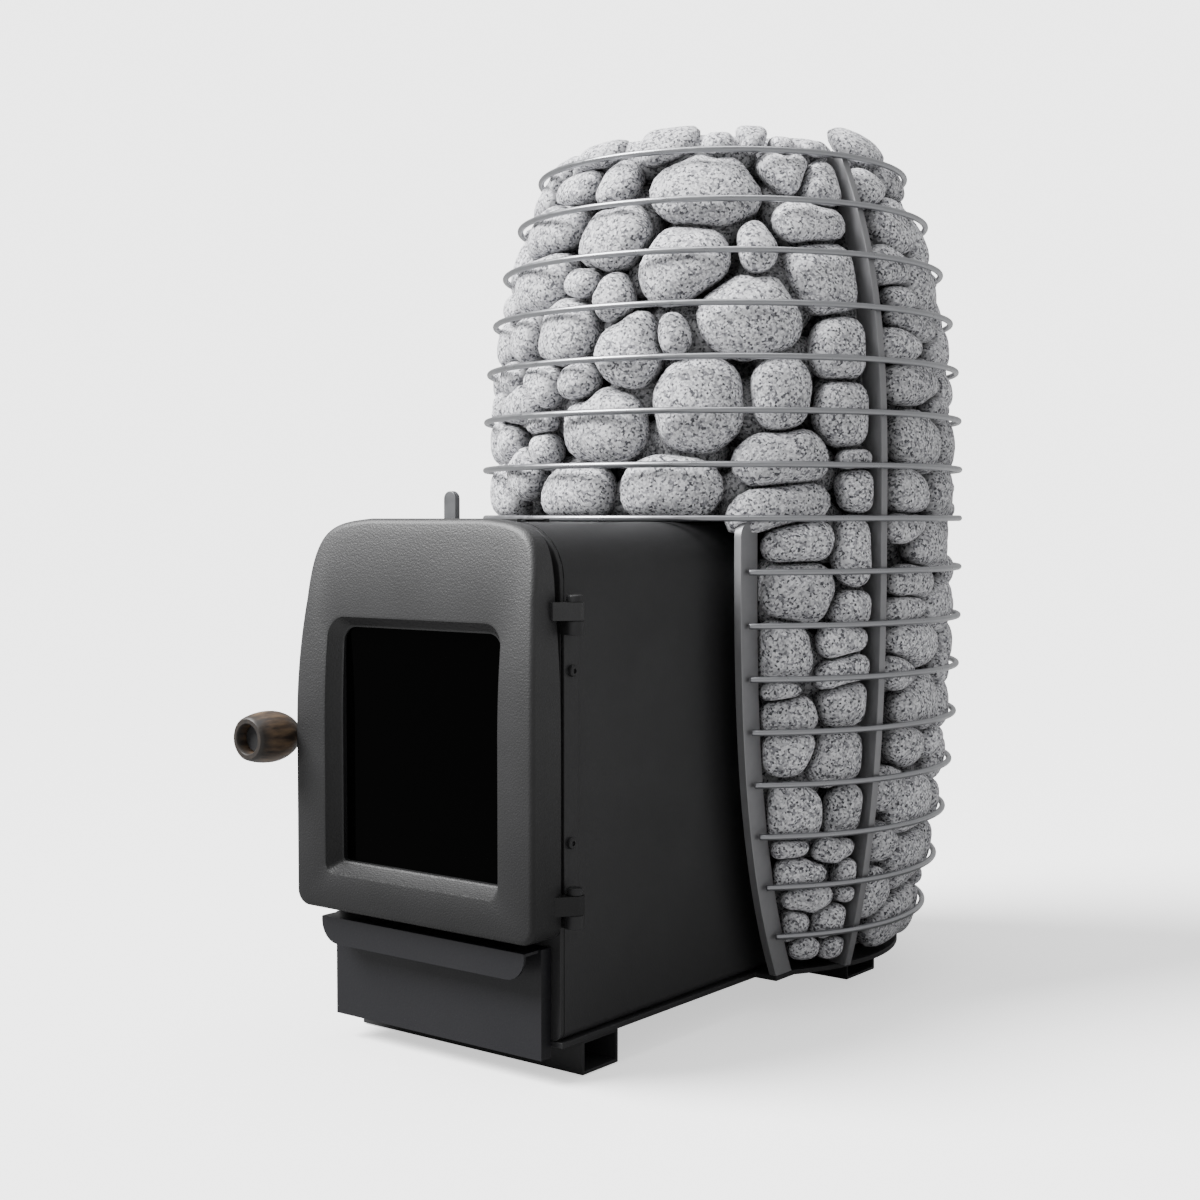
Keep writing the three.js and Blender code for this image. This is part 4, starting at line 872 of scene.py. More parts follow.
@dataclass
class StoneFill:
    """Loose granite stones between the cage, the firebox and the flue.

    Attributes:
        clear: Room between the outermost stones and the inside of the rings.
        beside_rib: Room between a stone and a rib's middle plane.
        joint: Room between two stones.
        swell: How far a stone may grow into empty room, as a share of its size.
        corner: Power of the soft least distance; more gives sharper corners.
        wear: Times that the corners are worn down.
        tries: Places tried for each size of stone.
        seed: Seed of every choice.
    """

    clear: float = 0.8
    beside_rib: float = 5.0
    joint: float = 1.0
    swell: float = 1.5
    corner: float = 14.0
    wear: int = 3
    tries: int = 2600
    seed: int = 11
    front: Layer = Layer(0.2, (44, 38, 32, 27, 22, 18, 14, 11), 0.9, 32, 14, 1.0)
    # Painted shade: the rear layer's stones are darkened, as they lie in shadow behind the front layer.
    rear: Layer = Layer(26.0, (46, 40, 34, 28, 22), 0.85, 14, 8, 0.35)

    def seen(self, view: View) -> np.ndarray:
        """Rows of the stones that were read from the picture.

        A stone's middle is where the ray through it meets the barrel, its own depth behind the rods.
        There a pixel is the depth along the view over the focal length. The share of the width that
        shows the stone's depth is taken out, and the rest is divided by how squarely it faces the
        camera. Depth and place depend on each other, so the steps are repeated.

        Args:
            view: How the camera looks.

        Returns:
            Bearing, height, half width, half height and lean of each stone.
        """
        read = np.array([astuple(stone) for stone in SEEN_STONES], float)
        ray = view.rays(read[:, :2])
        eye = np.array(view.place)
        flat = np.linalg.norm(ray[:, :2], axis=1)
        beside = ray[:, :2] @ eye[:2] / flat
        depth, z = np.full(len(read), 25.0), np.full(len(read), BELLY_HEIGHT)
        for _ in range(12):
            radius = barrel(z) - ROD - 1 - depth
            chord = np.maximum(beside**2 - eye[:2] @ eye[:2] + radius**2, 0)
            away = (-beside - np.sqrt(chord)) / flat
            place = eye + away[:, None] * ray
            z = place[:, 2]
            normal = place[:, :2] / np.linalg.norm(place[:, :2], axis=1, keepdims=True)
            facing = np.abs((normal * ray[:, :2]).sum(1)) / flat
            wide, tall = read[:, 2:4].T * away / view.focal
            shown = np.maximum(wide**2 - depth**2 * (1 - facing**2), 0)
            wide = np.clip(np.sqrt(shown) / np.maximum(facing, 0.25), 0.7 * tall, 62)
            depth = np.clip(0.62 * np.minimum(wide, tall) + 6, 14, 32)
        wide = np.minimum(wide, np.select([facing < 0.2, facing < 0.5], [36, 44], 62))
        bearing = np.degrees(np.arctan2(place[:, 0], -place[:, 1])) % 360
        return np.stack([bearing, z, wide, tall, read[:, 4]], -1)

    def front_edge(self, z: np.ndarray) -> np.ndarray:
        """Bearing of the first stone beside a front bar; above the roof there is none."""
        reach = np.degrees(np.arcsin(np.clip((BAR_OUTER + 1) / (barrel(z) - 16), -1, 1)))
        return np.where(z > ROOF, -400.0, reach)

    def settle(self, rows: np.ndarray, depth: np.ndarray) -> np.ndarray:
        """Moves and narrows stones that lie on a rib.

        Args:
            rows: Bearing, height, half width, half height and lean of each stone.
            depth: Radius of each stone's middle.

        Returns:
            The same rows, clear of the ribs.
        """
        rows = rows.copy()
        for rib in RIB_BEARINGS:
            apart = (rows[:, 0] - rib + 180) % 360 - 180
            away = np.radians(apart) * depth
            close = np.abs(away) < rows[:, 2] + self.beside_rib
            rows[close, 2] = np.maximum(0.8 * rows[close, 2], np.abs(away[close]) - self.beside_rib)
            side = np.where(away >= 0, 1.0, -1.0)
            moved = rib + side * np.degrees((rows[:, 2] + self.beside_rib) / depth)
            rows[close, 0] = moved[close]
        return rows

    def scatter(self, seen: np.ndarray, layer: Layer) -> np.ndarray:
        """Fills a layer of the barrel with stones, the largest first.

        A place is kept where its ellipse stays clear of every ellipse already there, counted on the
        unrolled barrel: the squares of the distances over the summed half axes add up to more than
        the layer's squeeze.

        Args:
            seen: Rows of stones that are already there.
            layer: The layer.

        Returns:
            Rows of all the layer's stones.
        """
        rng = np.random.default_rng(self.seed + int(layer.inset))
        rows = seen.copy()
        for size in layer.sizes:
            half = size * rng.uniform(0.85, 1.15, self.tries)
            tall = half * rng.uniform(0.58, 0.9, self.tries)
            z = rng.uniform(BASE_TOP + 10, 845, self.tries)
            bearing = rng.uniform(0, 360, self.tries)
            lean = rng.uniform(-14, 14, self.tries)
            for row in np.stack([bearing, z, half, tall, lean], -1):
                if self.fits(row, rows, layer):
                    rows = np.concatenate([rows, row[None]])
        return rows

    def fits(self, row: np.ndarray, rows: np.ndarray, layer: Layer) -> bool:
        """Whether a stone has room in its layer.

        Args:
            row: The stone.
            rows: The stones already there.
            layer: The layer.

        Returns:
            True where it is clear of the stones, the ribs, the bars, the base and the firebox.
        """
        bearing, z, half, tall = row[:4]
        radius = float(barrel(z)) - layer.inset - 20
        if z - tall < BASE_TOP + 1 or (layer.inset >= 26 and z + tall > 808):
            return False
        if z < ROOF + tall:
            front = float(self.front_edge(np.array(min(z, ROOF - 1)))) + math.degrees(half / radius)
            if not front < bearing < 360 - front:
                return False
            place = at_bearing(np.array(bearing), radius, z)
            beside = abs(place[0]) - HALF_BOX - 22
            behind = place[1] - FIREBOX_BACK - 22
            if max(beside, behind) < 0:
                return False
        if layer.inset < 26:
            if half < 19 and not 120 < bearing < 310:
                return False
            apart = (bearing - np.array(RIB_BEARINGS) + 180) % 360 - 180
            if (np.abs(np.radians(apart)) * radius < 0.9 * half + self.beside_rib).any():
                return False
        if not len(rows):
            return True
        across = np.radians((rows[:, 0] - bearing + 180) % 360 - 180) * radius / (rows[:, 2] + half)
        upward = (rows[:, 1] - z) / (rows[:, 3] + tall)
        return bool((across**2 + upward**2 > layer.squeeze).all())

    def metric(self, rows: np.ndarray) -> np.ndarray:
        """Matrices that turn a step across and up to a stone's own half sizes.

        Args:
            rows: Bearing, height, half width, half height and lean of each stone.

        Returns:
            Stones by 2 by 2.
        """
        lean = np.radians(rows[:, 4])
        turn = np.stack([np.cos(lean), -np.sin(lean), np.sin(lean), np.cos(lean)], -1).reshape(-1, 2, 2)
        return turn / rows[:, 2:4, None]

    def reach(self, rows: np.ndarray, layer: Layer) -> np.ndarray:
        """Distance from each stone's middle to its outline, all round it.

        All stones swell alike until they meet. On a ray from a stone's middle that is where its own
        ellipse distance equals a neighbour's, the root of a quadratic. The soft least of these
        distances, of the stone's largest size and of the room to the ribs, the bars, the roof and
        the base rounds the corners. They are then worn down: each distance gives way to the mean
        of its neighbours where that is less.

        Args:
            rows: Bearing, height, half width, half height and lean of each stone.
            layer: The layer.

        Returns:
            Stones by facets round a stone.
        """
        turn = np.linspace(0, 2 * np.pi, layer.around, endpoint=False)
        ray = np.stack([np.cos(turn), np.sin(turn)], -1)
        metric = self.metric(rows)
        size = np.einsum("jkl,al->jak", metric, ray)
        own = np.linalg.norm(size, axis=-1)
        radius = barrel(rows[:, 1]) - layer.inset - 20
        limits = [self.swell / own]
        apart = np.radians((rows[:, None, 0] - rows[None, :, 0] + 180) % 360 - 180)
        across = apart * (radius[:, None] + radius[None]) / 2
        step = np.stack([across, rows[:, None, 1] - rows[None, :, 1]], -1)
        place = np.einsum("jkl,ijl->ijk", metric, step)
        away = (place**2).sum(-1)
        np.fill_diagonal(away, np.inf)
        for i in range(len(rows)):
            near = np.argsort(away[i])[:24]
            square = (size[near] ** 2).sum(-1) - own[i] ** 2
            lean = np.einsum("jak,jk->ja", size[near], place[i, near])
            inside = lean**2 - square * away[i, near][:, None]
            ends = np.sqrt(np.clip(inside, 0, None)) - lean
            meet = np.where((inside > 0) & (ends > 1e-6), away[i, near][:, None] / np.maximum(ends, 1e-6), np.inf)
            limits[0][i] = (limits[0][i] ** -self.corner + ((meet - self.joint / 2).clip(2.0) ** -self.corner).sum(0)) ** (
                -1 / self.corner
            )
        limits += self.walls(rows, ray, radius, layer)
        outline = (np.stack(limits) ** -self.corner).sum(0) ** (-1 / self.corner)
        for _ in range(self.wear * layer.around // 32):
            worn = (np.roll(outline, 1, 1) + 2 * outline + np.roll(outline, -1, 1)) / 4
            outline = np.minimum(outline, worn)
        return outline

    def walls(self, rows: np.ndarray, ray: np.ndarray, radius: np.ndarray, layer: Layer) -> list[np.ndarray]:
        """Distances along each ray to what holds the stones in.

        Args:
            rows: Bearing, height, half width, half height and lean of each stone.
            ray: Directions, by 2.
            radius: Radius of each stone's middle.
            layer: The layer.

        Returns:
            One array of stones by directions for each wall.
        """

        def room(space: np.ndarray, along: np.ndarray) -> np.ndarray:
            """Distance to a wall that lies a space away, for rays that go towards it."""
            return np.where(along > 1e-3, np.maximum(space, 3.0)[:, None] / np.maximum(along, 1e-3), np.inf)

        found = []
        if layer.inset < 26:
            for rib in RIB_BEARINGS:
                apart = np.radians((rib - rows[:, 0] + 180) % 360 - 180) * radius
                found.append(room(np.abs(apart) - self.beside_rib, np.sign(apart)[:, None] * ray[None, :, 0]))
        beside = np.abs((rows[:, 0] + 180) % 360 - 180)
        low = rows[:, 1] < ROOF
        edge = self.front_edge(np.minimum(rows[:, 1], ROOF - 1))
        space = np.where(low, np.radians(beside - edge) * radius, np.inf)
        side = np.where(rows[:, 0] % 360 < 180, -1.0, 1.0)
        found.append(room(space, side[:, None] * ray[None, :, 0]))
        floor = np.where(~low & (beside < edge), ROOF + 2, BASE_TOP + 1)
        found.append(room(rows[:, 1] - floor, -ray[None, :, 1] * np.ones((len(rows), 1))))
        above = np.where(rows[:, 1] > 815, 1.02 * rows[:, 3], np.inf)
        found.append(room(above, ray[None, :, 1] * np.ones((len(rows), 1))))
        return found

    def stones(self, rows: np.ndarray, layer: Layer, rng: np.random.Generator) -> tuple[np.ndarray, np.ndarray]:
        """Points of every stone of a layer, and how bright they are with painted light and shade.

        A stone is its outline drawn in to its face and back by a power curve between a circle and a
        box, waved a little, tilted and bent round the barrel.

        Args:
            rows: Bearing, height, half width, half height and lean of each stone.
            layer: The layer.
            rng: Source of the choices.

        Returns:
            Stones by points by 3, and stones by points.
        """
        count = len(rows)
        outline = self.reach(rows, layer)
        turn = np.linspace(0, 2 * np.pi, layer.around, endpoint=False)
        rise = np.linspace(-np.pi / 2, np.pi / 2, layer.across + 1)
        power = rng.uniform(2.2, 2.8, (count, 1, 1))
        draw = np.abs(np.cos(rise))[None, :, None] ** (2 / power)
        out = (np.sign(np.sin(rise)) * np.abs(np.sin(rise)))[None, :, None]
        out = np.sign(out) * np.abs(out) ** (2 / power)
        waves = rng.normal(0, 1.6, (count, 3, 3))
        phase = rng.uniform(0, 2 * np.pi, (count, 1, 3))
        ball = np.stack(
            np.broadcast_arrays(
                np.cos(rise)[:, None] * np.cos(turn), np.sin(rise)[:, None], np.cos(rise)[:, None] * np.sin(turn)
            ),
            -1,
        ).reshape(-1, 3)
        wave = np.sin(np.einsum("pk,cwk->cpw", ball, waves) + phase).sum(-1).reshape(count, len(rise), layer.around)
        wave = 1 - 0.02 * (1 + wave / 3)
        across = outline[:, None, :] * draw * wave * np.cos(turn)
        upward = outline[:, None, :] * draw * wave * np.sin(turn)
        deep = np.clip(0.5 * np.minimum(rows[:, 2], rows[:, 3]) + 9, 13, 30)[:, None, None]
        tilt = rng.uniform(-0.08, 0.08, (count, 2, 1, 1))
        lean = tilt[:, 0] * across + tilt[:, 1] * upward
        depth = deep * (out * wave - 1) + lean
        depth -= np.maximum(depth.max((1, 2), keepdims=True), 0)
        height = rows[:, 1][:, None, None] + upward
        middle = (barrel(rows[:, 1]) - ROD - layer.inset)[:, None, None]
        radial = barrel(height) - ROD - self.clear - layer.inset + depth
        bearing = rows[:, 0][:, None, None] + np.degrees(across / middle)
        points = at_bearing(bearing, radial, height)
        # Painted light and shade: above 770 mm the stones take the light from above, below it the layer's painted
        # shade; each stone also darkens towards its edges and back, where the joints lie in shade.
        light = np.where(rows[:, 1] > 770, 0.95, layer.shade)[:, None, None]
        shade = light * (0.45 + 0.55 * np.clip((out + 0.05) / 0.6, 0, 1)) * np.ones_like(across)
        return points.reshape(count, -1, 3), shade.reshape(count, -1)

    def faces(self, layer: Layer) -> np.ndarray:
        """Triangles of one stone: split quads between its rings, whose end rings are single points."""
        number = np.arange((layer.across + 1) * layer.around).reshape(layer.across + 1, layer.around)
        beside = np.roll(number, -1, 1)
        one = np.stack([number[:-1], number[1:], beside[1:]], -1).reshape(-1, 3)
        two = np.stack([number[:-1], beside[1:], beside[:-1]], -1).reshape(-1, 3)
        return np.concatenate([one, two])

    def core(self, low: float, high: float) -> tuple[np.ndarray, np.ndarray]:
        """Ring of small rubble round the flue that shuts the view between the stones.

        It is a ring of revolution: a rectangle from beside the flue to behind the second layer.

        Args:
            low: Its underside.
            high: Its top.

        Returns:
            One by points by 3, and triangles.
        """
        bearing = np.linspace(0, 360, 72, endpoint=False)[:, None]
        top = min(high, 800.0) - 0.5
        z = np.array([low, low, top, top])
        radius = np.array([62.0, float(barrel(low)), float(barrel(top)), 62.0]) - np.array([0.0, 70.0, 70.0, 0.0])
        points = at_bearing(bearing, radius, z)
        number = np.arange(points.shape[0] * 4).reshape(-1, 4)
        ahead = np.roll(number, -1, 0)
        one = np.stack([number, ahead, np.roll(ahead, -1, 1)], -1).reshape(-1, 3)
        two = np.stack([number, np.roll(ahead, -1, 1), np.roll(number, -1, 1)], -1).reshape(-1, 3)
        return points.reshape(1, -1, 3), np.concatenate([one, two])

    def heap(self, rng: np.random.Generator) -> np.ndarray:
        """Rows of the stones that close the top of the pile, laid in rings round the flue.

        Args:
            rng: Source of the choices.

        Returns:
            Radius, bearing, height, half width and half depth of each stone.
        """
        groups = []
        for ring, (radius, z, count) in enumerate(((150, 826, 11), (112, 832, 9), (82, 828, 8))):
            bearing = np.arange(count) * 360 / count + 17 * ring + rng.uniform(-6, 6, count)
            half = np.pi * radius / count * rng.uniform(0.88, 1.02, count)
            rows = np.stack([np.full(count, radius), bearing, np.full(count, z), half, np.full(count, 19.0)], -1)
            groups.append(rows)
        return np.concatenate(groups)

    def heaped(self, rows: np.ndarray, layer: Layer, rng: np.random.Generator) -> np.ndarray:
        """Points of the stones on top: waved balls flattened to their sizes.

        Args:
            rows: Radius, bearing, height, half width and half depth of each stone.
            layer: Layer whose facets they share.
            rng: Source of the choices.

        Returns:
            Stones by points by 3.
        """
        turn = np.linspace(0, 2 * np.pi, layer.around, endpoint=False)
        rise = np.linspace(-np.pi / 2, np.pi / 2, layer.across + 1)
        ball = np.stack(
            np.broadcast_arrays(
                np.cos(rise)[:, None] * np.cos(turn), np.sin(rise)[:, None], np.cos(rise)[:, None] * np.sin(turn)
            ),
            -1,
        ).reshape(-1, 3)
        boxy = (np.abs(ball) ** 2.6).sum(-1) ** (-1 / 2.6)
        waves = rng.normal(0, 1.6, (len(rows), 3, 3))
        wave = 1 + 0.05 * np.sin(np.einsum("pk,cwk->cpw", ball, waves)).mean(-1)
        local = ball[None] * (boxy * wave)[..., None]
        bearing = rows[:, 1, None] + np.degrees(local[..., 0] * rows[:, 3, None] / rows[:, 0, None])
        radial = rows[:, 0, None] + local[..., 1] * rows[:, 4, None]
        return at_bearing(bearing, radial, rows[:, 2, None] + local[..., 2] * 20.0)

    def build(self) -> None:
        """Makes the stones of each course's height band as one piece."""
        rng = np.random.default_rng(self.seed)
        seen = self.seen(View())
        beside = (seen[:, 0] < RIB_BEARINGS[0]) & (seen[:, 1] < ROOF)
        left = seen[beside] * (-1, 1, 1, 1, -1) + (360, 0, 0, 0, 0)
        seen = np.concatenate([seen, left])
        seen = self.settle(seen, barrel(seen[:, 1]) - 30)
        outer = self.scatter(seen, self.front)
        inner = self.scatter(np.zeros((0, 5)), self.rear)
        groups = []
        for rows, layer in ((outer, self.front), (inner, self.rear)):
            points, shade = self.stones(rows, layer, rng)
            groups.append((points, shade * rng.uniform(0.84, 1.08, (len(points), 1)), self.faces(layer)))
        heap = self.heaped(self.heap(rng), self.front, rng)
        # Painted shade: each stone on top darkens towards its underside.
        crown = heap[:, :, 2] - heap[:, :, 2].mean(1, keepdims=True)
        groups.append((heap, 0.4 + 0.58 * np.clip((crown + 8) / 18, 0, 1), self.faces(self.front)))
        step = (ROOF - BASE_TOP) / LOWER_COURSES
        rise = (PILE_TOP - ROOF) / UPPER_COURSES
        for i in range(LOWER_COURSES + UPPER_COURSES):
            skins, tones_and_shades = [], []
            for points, shade, faces in groups:
                middle = points[:, :, 2].mean(1)
                above = LOWER_COURSES + np.clip((middle - ROOF) // rise, 0, UPPER_COURSES - 1)
                course = np.where(middle < ROOF, np.clip((middle - BASE_TOP) // step, 0, None), above)
                chosen = np.flatnonzero(course == i)
                skins.append((points[chosen], faces))
                tones_and_shades.append(shade[chosen].ravel())
            if i >= LOWER_COURSES:
                core = self.core(ROOF + 2 + (i - LOWER_COURSES) * rise, ROOF + 2 + (i - LOWER_COURSES + 1) * rise)
                skins.append(core)
                # Painted shade: the rubble ring is dark, as the inside of the pile lies in shadow.
                tones_and_shades.append(np.full(core[0].shape[1], 0.25))
            self.piece(f"stone_course_{i + 1:02d}", skins, np.concatenate(tones_and_shades))

    def piece(self, node: str, skins: Sequence[tuple[np.ndarray, np.ndarray]], tone: np.ndarray) -> None:
        """One course's stones as a mesh with a tone and painted shade at each point.

        Args:
            node: Solid that the course stands for.
            skins: Stones by points by 3, with the triangles of one stone, for each layer.
            tone: Brightness of every point, the stone's own tone times painted light and shade.
        """
        start, places, faces = 0, [], []
        for points, one in skins:
            number = start + points.shape[1] * np.arange(len(points))[:, None, None]
            faces.append((one[None] + number).reshape(-1, 3))
            places.append(points.reshape(-1, 3))
            start += points.shape[0] * points.shape[1]
        mesh = bpy.data.meshes.new(f"{node}_stones")
        mesh.from_pydata(to_part(np.concatenate(places)).tolist(), [], np.concatenate(faces).tolist())
        # Each point's brightness: the stone's own tone times painted light and shade.
        shade = mesh.attributes.new("tone", "FLOAT", "POINT")
        shade.data.foreach_set("value", tone)
        work = bmesh.new()
        work.from_mesh(mesh)
        bmesh.ops.remove_doubles(work, verts=work.verts, dist=1e-6)
        bmesh.ops.dissolve_degenerate(work, dist=1e-7, edges=work.edges)
        bmesh.ops.recalc_face_normals(work, faces=work.faces)
        work.to_mesh(mesh)
        work.free()
        mesh.shade_smooth()
        piece = bpy.data.objects.new(mesh.name, mesh)
        bpy.context.scene.collection.objects.link(piece)
        dress(piece, GRANITE, Body.STOVE, [node])


def upright(width: float, bottom: float, top: float, high: float, low: float, steps: int = 16) -> np.ndarray:
    """Outline of an upright rectangle about x = 0 with quarter circles at its corners.

    Args:
        width: Size across.
        bottom: Lowest height.
        top: Highest height.
        high: Radius of the upper corners.
        low: Radius of the lower corners.
        steps: Steps of each quarter circle.

    Returns:
        Points by 2, x and z, anticlockwise from the lower right corner.
    """
    turn = np.linspace(0, np.pi / 2, steps)
    half = width / 2
    corners = [
        (half - low, bottom + low, low, -np.pi / 2),
        (half - high, top - high, high, 0.0),
        (high - half, top - high, high, np.pi / 2),
        (low - half, bottom + low, low, np.pi),
    ]
    arcs = [np.stack([x + r * np.cos(turn + start), z + r * np.sin(turn + start)], -1) for x, z, r, start in corners]
    return np.concatenate(arcs)


def standing(outline: np.ndarray, y: float) -> np.ndarray:
    """Outline of x and z set upright at a depth y."""
    return np.stack([outline[:, 0], np.full(len(outline), y), outline[:, 1]], -1)


@dataclass
class Firebox:
    """Bent sheet tunnel with its end plates, floor, grate, baffle and flue, on the base.

    Attributes:
        wall: Sheet thickness.
        bend: Outer radius of the upper edges.
        foot: Outer radius of the lower edges.
        bottom: Underside of the shell.
        flue_radius: Outer radius of the flue.
        flue_wall: Its wall.
        flue_top: Height of its rim.
        base_inset: How far the base stays inside the barrel.
    """

    wall: float = 5.0
    bend: float = 48.0
    foot: float = 8.0
    bottom: float = 35.6
    flue_radius: float = 57.5
    flue_wall: float = 3.0
    flue_top: float = 840.0
    base_inset: float = 17.0

    def shell(self) -> Skin:
        """Tunnel wall: an outer and an inner rounded outline, each carried from front to back."""
        outer = upright(2 * HALF_BOX, self.bottom, ROOF, self.bend, self.foot)
        inner = upright(
            2 * (HALF_BOX - self.wall),
            self.bottom + self.wall,
            ROOF - self.wall,
            self.bend - self.wall,
            self.foot - self.wall,
        )
        front = FIREBOX_FRONT + self.wall + GAP
        back = FIREBOX_BACK - self.wall - GAP
        rings = [standing(outer, front), standing(outer, back), standing(inner, back), standing(inner, front)]
        return sheet_of(np.stack(rings), wrap_rows=True)

    def flue(self) -> Skin:
        """Pipe of revolution with an open bore."""
        inner = self.flue_radius - self.flue_wall
        low = ROOF - self.wall
        profile = np.array(
            [[inner, low], [self.flue_radius, low], [self.flue_radius, self.flue_top], [inner, self.flue_top]]
        )
        return turned(profile, (0, 0, 0), "z", 72)

    def base_plate(self) -> Skin:
        """Keyhole plate: a disc under the cage with square shoulders, run on under the firebox."""
        half = HALF_BOX + 2
        radius = float(barrel(BASE_TOP)) - self.base_inset
        meet = math.degrees(math.asin(BAR_OUTER / radius))
        shoulder = -math.sqrt((float(barrel(BASE_TOP)) + 3) ** 2 - BAR_OUTER**2)
        right = at_bearing(np.linspace(meet, 180, 90), radius, 0.0)[:, :2]
        edge = np.concatenate([[[half, FIREBOX_FRONT], [half, shoulder], [BAR_OUTER, shoulder]], right])
        outline = np.concatenate([edge, edge[-2::-1] * (-1, 1)])
        levels = [np.column_stack([outline, np.full(len(outline), z)]) for z in (BASE_TOP - 5, BASE_TOP)]
        return sheet_of(np.stack(levels))

    def build(self, frame: dict[str, Any]) -> None:
        """Makes and dresses the firebox and the base.
        """
        shell = piece_of("firebox_shell_sheet", self.shell())
        dress(shell, BLACK_SHEET, Body.STOVE, ["firebox_shell"])
        dress(piece_of("flue_pipe_tube", self.flue()), BLACK_SHEET, Body.STOVE, ["flue_pipe"])
        plate = piece_of("base_plate_sheet", self.base_plate())
        soften(plate, 0.8)
        dress(plate, BLACK_SHEET, Body.STOVE, ["base_plate"])
        for node in ("front_plate", "back_plate", "front_crossbar", "rear_crossbar"):
            dress(refined(frame, node, 0.8), BLACK_SHEET, Body.STOVE, [node])
        for node in ("hearth_plate", "baffle_plate"):
            dress(frame["nodes"][node], BLACK_SHEET, Body.STOVE)
        dress(refined(frame, "fire_grate", 1.0), CAST_IRON, Body.STOVE, ["fire_grate"])
        for node in ("air_slide_rail_front", "air_slide_rail_rear"):
            dress(refined(frame, node, 0.4), BLACK_SHEET, Body.STOVE, [node])
        dress(refined(frame, "air_slide", 0.6), BARE_STEEL, Body.AIR, ["air_slide"])


